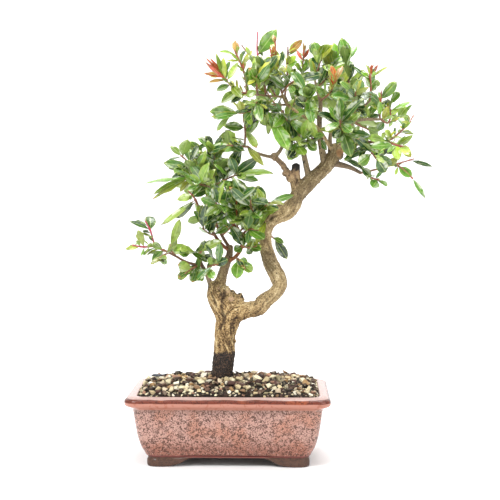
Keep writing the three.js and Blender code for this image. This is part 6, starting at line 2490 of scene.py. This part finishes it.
@dataclass(frozen=True)
class Canopy:
    """All leafy shoots, each as one piece of stems and one of leaves."""

    blades: Blades = Blades()
    base_radius: float = 1.1
    tip_radius: float = 0.6
    # How much a stem is thicker at a leaf, and how far that reaches.
    node_swell: float = 0.28
    node_reach: float = 1.3
    stem_step: float = 1.2
    stem_sides: int = 8
    # A stem turns from red-brown to its skin's colour between these shares of its length.
    skin_turn: Pair = (0.2, 0.65)
    last_leaf: float = 0.95
    # Fillers: millimetres from pair to pair, lengths, and widths as shares of the length.
    filler_gap: float = 4.4
    filler_long: Pair = (17, 32)
    filler_shape: Pair = (0.25, 0.38)
    fresh_long: Pair = (8, 17)
    fresh_shape: Pair = (0.2, 0.3)
    tuft_shape: float = 0.15
    # Where a pair stands in its stretch, and how far its leaves point along the stem and up.
    pair_place: Pair = (0.3, 0.9)
    filler_ahead: Pair = (0.3, 0.9)
    filler_up: Pair = (-0.1, 0.4)
    filler_shake: float = 0.5
    # A tuft's leaves: how far they rise from the stem's direction, how they spread, as means
    # and spreads, and their lengths as shares.
    tuft_rise: float = 0.8
    tuft_spread: tuple[Pair, ...] = ((0, 0.4), (0, 0.3), (0.1, 0.2))
    tuft_long: Pair = (0.6, 1.1)
    # A blade's height as a share of its length.
    blade_height: Pair = (0.6, 1.1)
    # A filler that finds no room is tried again at this share of its length.
    filler_share: float = 0.9
    filler_tries: int = 4
    # How much a leaf faces out and up, and the depth from which fillers and others face backwards.
    filler_facing: Pair = (0.6, 0.62)
    single_facing: Pair = (0.9, 0.4)
    crown_back: float = 26
    seen_back: float = 28
    # Painted light: leaves at the top and far right are lighter: from where to where, and by what share.
    top_painted_light: tuple[float, float, float] = (370, 405, 0.6)
    right_painted_light: tuple[float, float, float] = (120, 145, 0.4)
    tone_range: Pair = (0.64, 1.26)
    seen_step: float = 5
    seed: int = 23

    def stem_lines(self, shoot: Shoot) -> list[np.ndarray]:
        """Draws the shoot's smooth stems, the side stems starting on the first one.

        Args:
            shoot: the shoot.

        Returns:
            The lines with their radii.
        """
        lines = []
        for points in shoot.stems:
            radii = np.linspace(self.base_radius, self.tip_radius, len(points))
            rows = np.column_stack([points, radii])
            if lines:
                nearest = np.linalg.norm(lines[0][:, :3] - rows[0, :3], axis=1).argmin()
                rows[0, :3] = lines[0][nearest, :3]
            lines.append(smooth_rows(rows, self.stem_step))
        return lines

    @staticmethod
    def at(line: np.ndarray, share: float) -> tuple[np.ndarray, np.ndarray]:
        """Finds a place on a stem.

        Args:
            line: the stem's line.
            share: a share of its length.

        Returns:
            The place and the stem's direction there.
        """
        lengths = lengths_along(line)
        far = share * lengths[-1]
        place = np.array([np.interp(far, lengths, line[:, i]) for i in range(3)])
        i = max(1, min(int(np.searchsorted(lengths, far)), len(line) - 1))
        return place, unit(line[i, :3] - line[i - 1, :3])

    def facing(
        self, aim: np.ndarray, foot: np.ndarray, draw: random.Random, is_filler: bool
    ) -> np.ndarray:
        """Turns a blade's upper side up and outwards.

        Args:
            aim: the blade's direction.
            foot: its stalk's foot.
            draw: the random numbers.
            is_filler: whether it is a filler, which faces up more.

        Returns:
            The direction that its upper side looks in.
        """
        out, up = self.filler_facing if is_filler else self.single_facing
        if foot[1] < (self.crown_back if is_filler else self.seen_back):
            out = -out
        look = shaken(draw, (0, 0.3), (out, 0.2), (up, 0.2))
        side = look - aim * np.dot(look, aim)
        if np.linalg.norm(side) < 0.25:
            side = np.cross(aim, (1, 0, 0))
        return unit(side)

    def painted_light(self, foot: np.ndarray) -> float:
        """How much lighter a leaf is painted: those at the top and far right get the most painted light."""
        light = 1.0
        for (low, high, most), where in ((self.top_painted_light, foot[2]), (self.right_painted_light, foot[0])):
            light += most * float(smooth_step(low, high, where))
        return light

    def leaf(
        self, draw: random.Random, foot: np.ndarray, tip: np.ndarray, width: float, age: Age,
        is_filler: bool = True,
    ) -> Spot:
        """Makes one leaf.

        Args:
            draw: the random numbers.
            foot: its stalk's foot.
            tip: its tip.
            width: how wide it is.
            age: how old it is.
            is_filler: whether it is a filler, and not singly placed.

        Returns:
            Its spot.
        """
        look = LEAF_LOOKS[age]
        aim, length = unit(tip - foot), float(np.linalg.norm(tip - foot))
        tone = np.array(linear(draw.choice(look.tones)))
        tone[:3] *= draw.uniform(*self.tone_range)
        if age in (Age.MATURE, Age.YOUNG):
            # Painted light on leaves at the top and far right.
            tone[:3] *= self.painted_light(foot)
        size = (length, width * look.broader, length * draw.uniform(*self.blade_height))
        variant = self.blades.variant(draw.choice(look.outlines), draw)
        # How much painted sheen the leaf shows.
        wax_and_painted_sheen = look.wax_and_painted_sheen * draw.random()
        lit_side = draw.choice((-1.0, 1.0))
        marks = (wax_and_painted_sheen, float(draw.random() < look.scorch), lit_side)
        facing = self.facing(aim, foot, draw, is_filler)
        return Spot(foot, aim, facing, size, variant, np.clip(tone, 0, 1), marks)

    def fillers(
        self, draw: random.Random, lines: list[np.ndarray], shoot: Shoot, room: Room
    ) -> list[Spot]:
        """Sets pairs of leaves along the stems where there is room.

        Args:
            draw: the random numbers.
            lines: the shoot's stems.
            shoot: the shoot.
            room: where they may be.

        Returns:
            Their spots.
        """
        spots = []
        ages = [leaf[-1] if leaf[-1] is Age.MATURE else Age.YOUNG for leaf in shoot.leaves]
        long, shape = self.filler_long, self.filler_shape
        if shoot.is_fresh:
            room = replace(room, outlines=[outline_of_shoot(shoot)])
            long, shape = self.fresh_long, self.fresh_shape
        for line in lines:
            pairs = max(1, round(lengths_along(line)[-1] / self.filler_gap))
            for pair in range(pairs):
                share = (pair + draw.uniform(*self.pair_place)) / pairs
                foot, way = self.at(line, min(share, self.last_leaf))
                side = unit(np.cross(way, shaken(draw, *EVERY_WAY)))
                for sign in (-1, 1):
                    length = draw.uniform(*long)
                    for _ in range(self.filler_tries):
                        ahead, up = draw.uniform(*self.filler_ahead), draw.uniform(*self.filler_up)
                        tip = foot + unit(way * ahead + side * sign + (0, 0, up)) * length
                        if room.holds(tip) and room.holds((foot + tip) / 2):
                            age = draw.choice(ages)
                            width = length * draw.uniform(*shape)
                            spots.append(self.leaf(draw, foot, tip, width, age))
                            break
                        length *= self.filler_share
                        side = unit(side + shaken(draw, *[(0, self.filler_shake)] * 3))
        return spots

    def tuft(
        self, draw: random.Random, foot: np.ndarray, way: np.ndarray, count: int, length: float,
        age: Age,
    ) -> list[Spot]:
        """Makes a tuft of narrow new leaves that stand close together on a stem.

        Args:
            draw: the random numbers.
            foot: where the tuft stands.
            way: the stem's direction there.
            count: how many leaves it has.
            length: about how long they are.
            age: how old they are.

        Returns:
            Their spots.
        """
        spots = []
        for _ in range(count):
            spread = shaken(draw, *self.tuft_spread)
            long = length * draw.uniform(*self.tuft_long)
            aim = unit(unit(way + (0, 0, self.tuft_rise)) + spread)
            spots.append(self.leaf(draw, foot, foot + aim * long, long * self.tuft_shape, age))
        return spots

    def leaves(
        self, draw: random.Random, name: str, lines: list[np.ndarray], room: Room
    ) -> list[Spot]:
        """Sets all leaves of a shoot.

        Args:
            draw: the random numbers.
            name: the shoot's name.
            lines: its stems.
            room: where fillers may be.

        Returns:
            The leaves' spots.
        """
        shoot, spots = SHOOTS[name], []
        for stem, share, x, y, z, width, age in shoot.leaves:
            foot, _ = self.at(lines[stem], min(share, self.last_leaf))
            spots.append(self.leaf(draw, foot, np.array((x, y, z), float), width, age, is_filler=False))
        spots += self.fillers(draw, lines, shoot, room)
        for stem, share, count, length, age in TIPS.get(name, ()):
            spots += self.tuft(draw, *self.at(lines[stem], share), count, length, age)
        return spots

    def stems(self, name: str, lines: list[np.ndarray], place: PotPlace) -> bpy.types.Mesh:
        """Makes a shoot's stems, a little thicker at each leaf.

        Args:
            name: the shoot's name.
            lines: its stems.
            place: the pot's place.

        Returns:
            Their mesh.
        """
        shoot, shape = SHOOTS[name], Shape()
        old, skin = (np.array(linear(twig.value)) for twig in (Twig.RED_BROWN, shoot.skin))
        for number, line in enumerate(lines):
            lengths = lengths_along(line)
            for stem, share, *_ in shoot.leaves:
                if stem == number:
                    far = min(share, self.last_leaf) * lengths[-1]
                    line[:, 3] += self.node_swell * np.exp(-(((lengths - far) / self.node_reach) ** 2))
            turned = smooth_step(*self.skin_turn, lengths / lengths[-1])[:, None]
            tones = old * (1 - turned) + skin * turned
            tones = np.vstack([np.repeat(tones, self.stem_sides, 0), tones[0], tones[-1]])
            shape.add(*tube(line, self.stem_sides), tone=tones)
        return shape.mesh(f"stems_{name}", place)

    def build(self, place: PotPlace) -> None:
        """Makes every shoot and hands it over.

        Args:
            place: the pot's place.
        """
        skin, wax_and_painted_sheen = TwigSkin().build(), PomegranateLeaf().build()
        scatter = Scatter("blade", self.blades.meshes(), spread=0.04, seed=self.seed)
        room = Room(
            [outline_of_shoot(shoot) for shoot in SHOOTS.values() if not shoot.is_fresh],
            [tuple(row[:3]) for name in SEEN_TWIGS for row in smooth_rows(LIMBS[name], self.seen_step)],
        )
        total = 0
        for number, (name, shoot) in enumerate(SHOOTS.items()):
            lines = self.stem_lines(shoot)
            spots = self.leaves(random.Random(self.seed + number), name, lines, room)
            total += len(spots)
            leaves = scatter.pieces(f"leaves_{name}", spots, place, wax_and_painted_sheen)
            hand_over(leaves, f"shoot_{name}")
            stems = shown(f"stems_{name}", self.stems(name, lines, place), skin)
            hand_over(stems, f"shoot_{name}")
        scatter.clear()
        log.info("canopy: %d leaves on %d shoots", total, len(SHOOTS))


# ---------------------------------------------------------------------------------------------
# Drainage and studio
# ---------------------------------------------------------------------------------------------


@dataclass(frozen=True)
class Drainage:
    """The meshes over the drainage holes and the wires that hold them, as packed."""

    sides: tuple[str, ...] = ("left", "right")

    def build(self, nodes: dict[str, bpy.types.Object]) -> None:
        """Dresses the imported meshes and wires.

        Args:
            nodes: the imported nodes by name.
        """
        plastic, wire = MouldedPlastic().build(), AnodisedWire().build()
        for side in self.sides:
            dress(nodes[f"drain_mesh_{side}"], plastic)
            dress(nodes[f"mesh_clip_{side}"], wire)


@dataclass(frozen=True)
class Lamp:
    """A soft box: its name, place and size in metres, and its power in watts."""

    name: str
    place: Point
    size: float
    power: float


@dataclass(frozen=True)
class Studio:
    """White paper swept up behind the tree, soft lights and the camera."""

    # The camera's place in millimetres, its turn in degrees, its lens and its range in metres.
    camera_place: Point = (50.2, -1140.0, 273.8)
    camera_turn: tuple[float, float, float] = (86.94, 0.0, 1.48)
    focal_length: float = 80.7
    sensor: float = 36.0
    clip: Pair = (0.05, 30)
    world_white: float = 0.68
    # The paper, in metres.
    paper_half: float = 4.0
    sweep_start: float = 1.6
    sweep_radius: float = 1.2
    sweep_top: float = 4.0
    sweep_steps: int = 12
    lamps: tuple[Lamp, ...] = (
        Lamp("key_softbox", (-0.9, -1.1, 1.5), 0.7, 30.0),
        Lamp("fill_softbox", (1.3, -1.0, 0.9), 1.0, 11.0),
        Lamp("top_softbox", (0.2, 0.3, 1.7), 0.9, 24.0),
    )
    # What the lamps look at.
    looked_at: Point = (0.0, 0.0, 0.25)

    def paper(self) -> None:
        """The paper on the floor and up behind."""
        turns = [math.radians(90 * i / self.sweep_steps) for i in range(1, self.sweep_steps + 1)]
        start, radius = self.sweep_start, self.sweep_radius
        profile = [(-self.paper_half, 0.0), (start, 0.0)]
        profile += [(start + radius * math.sin(t), radius * (1 - math.cos(t))) for t in turns]
        profile.append((start + radius, self.sweep_top))
        places = [(x, y, z) for y, z in profile for x in (-self.paper_half, self.paper_half)]
        faces = [(i, i + 1, i + 3, i + 2) for i in range(0, len(places) - 2, 2)]
        shape = Shape()
        shape.add(np.array(places), faces)
        shown("floor_paper", shape.mesh("floor_paper"), StudioPaper().build())

    def lights(self) -> None:
        """The soft boxes and the white surroundings."""
        world = bpy.data.worlds.new("white_room")
        world.use_nodes = True
        background = world.node_tree.nodes["Background"]
        background.inputs["Color"].default_value = (1, 1, 1, 1)
        background.inputs["Strength"].default_value = self.world_white
        bpy.context.scene.world = world
        for lamp in self.lamps:
            data = bpy.data.lights.new(lamp.name, "AREA")
            data.shape = "SQUARE"
            data.size = lamp.size
            data.energy = lamp.power
            box = bpy.data.objects.new(lamp.name, data)
            bpy.context.scene.collection.objects.link(box)
            box.location = lamp.place
            way = Vector(self.looked_at) - Vector(lamp.place)
            box.rotation_euler = way.to_track_quat("-Z", "Y").to_euler()

    def camera(self, place: PotPlace) -> None:
        """Stands the camera before the front of the pot.

        Args:
            place: the pot's place.
        """
        data = bpy.data.cameras.new("camera")
        data.lens = self.focal_length
        data.sensor_width = self.sensor
        data.clip_start, data.clip_end = self.clip
        camera = bpy.data.objects.new("camera", data)
        bpy.context.scene.collection.objects.link(camera)
        camera.location = place.metres(np.array(self.camera_place)).tolist()
        camera.rotation_euler = Euler([math.radians(a) for a in self.camera_turn])
        bpy.context.scene.camera = camera

    def build(self, place: PotPlace) -> None:
        """Sets up the whole studio.

        Args:
            place: the pot's place.
        """
        self.camera(place)
        self.paper()
        self.lights()
        bpy.context.scene.view_settings.view_transform = "Standard"


def main() -> None:
    """Loads the frame and builds every sub-assembly."""
    logging.basicConfig(level=logging.INFO, format="%(name)s %(message)s")
    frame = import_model()
    place = PotPlace.of_packed_pot()
    Studio().build(place)
    Pot().build(place)
    Ground().build(place, frame["nodes"])
    Drainage().build(frame["nodes"])
    Trunk().build(place)
    Canopy().build(place)


if __name__ == "__main__":
    main()
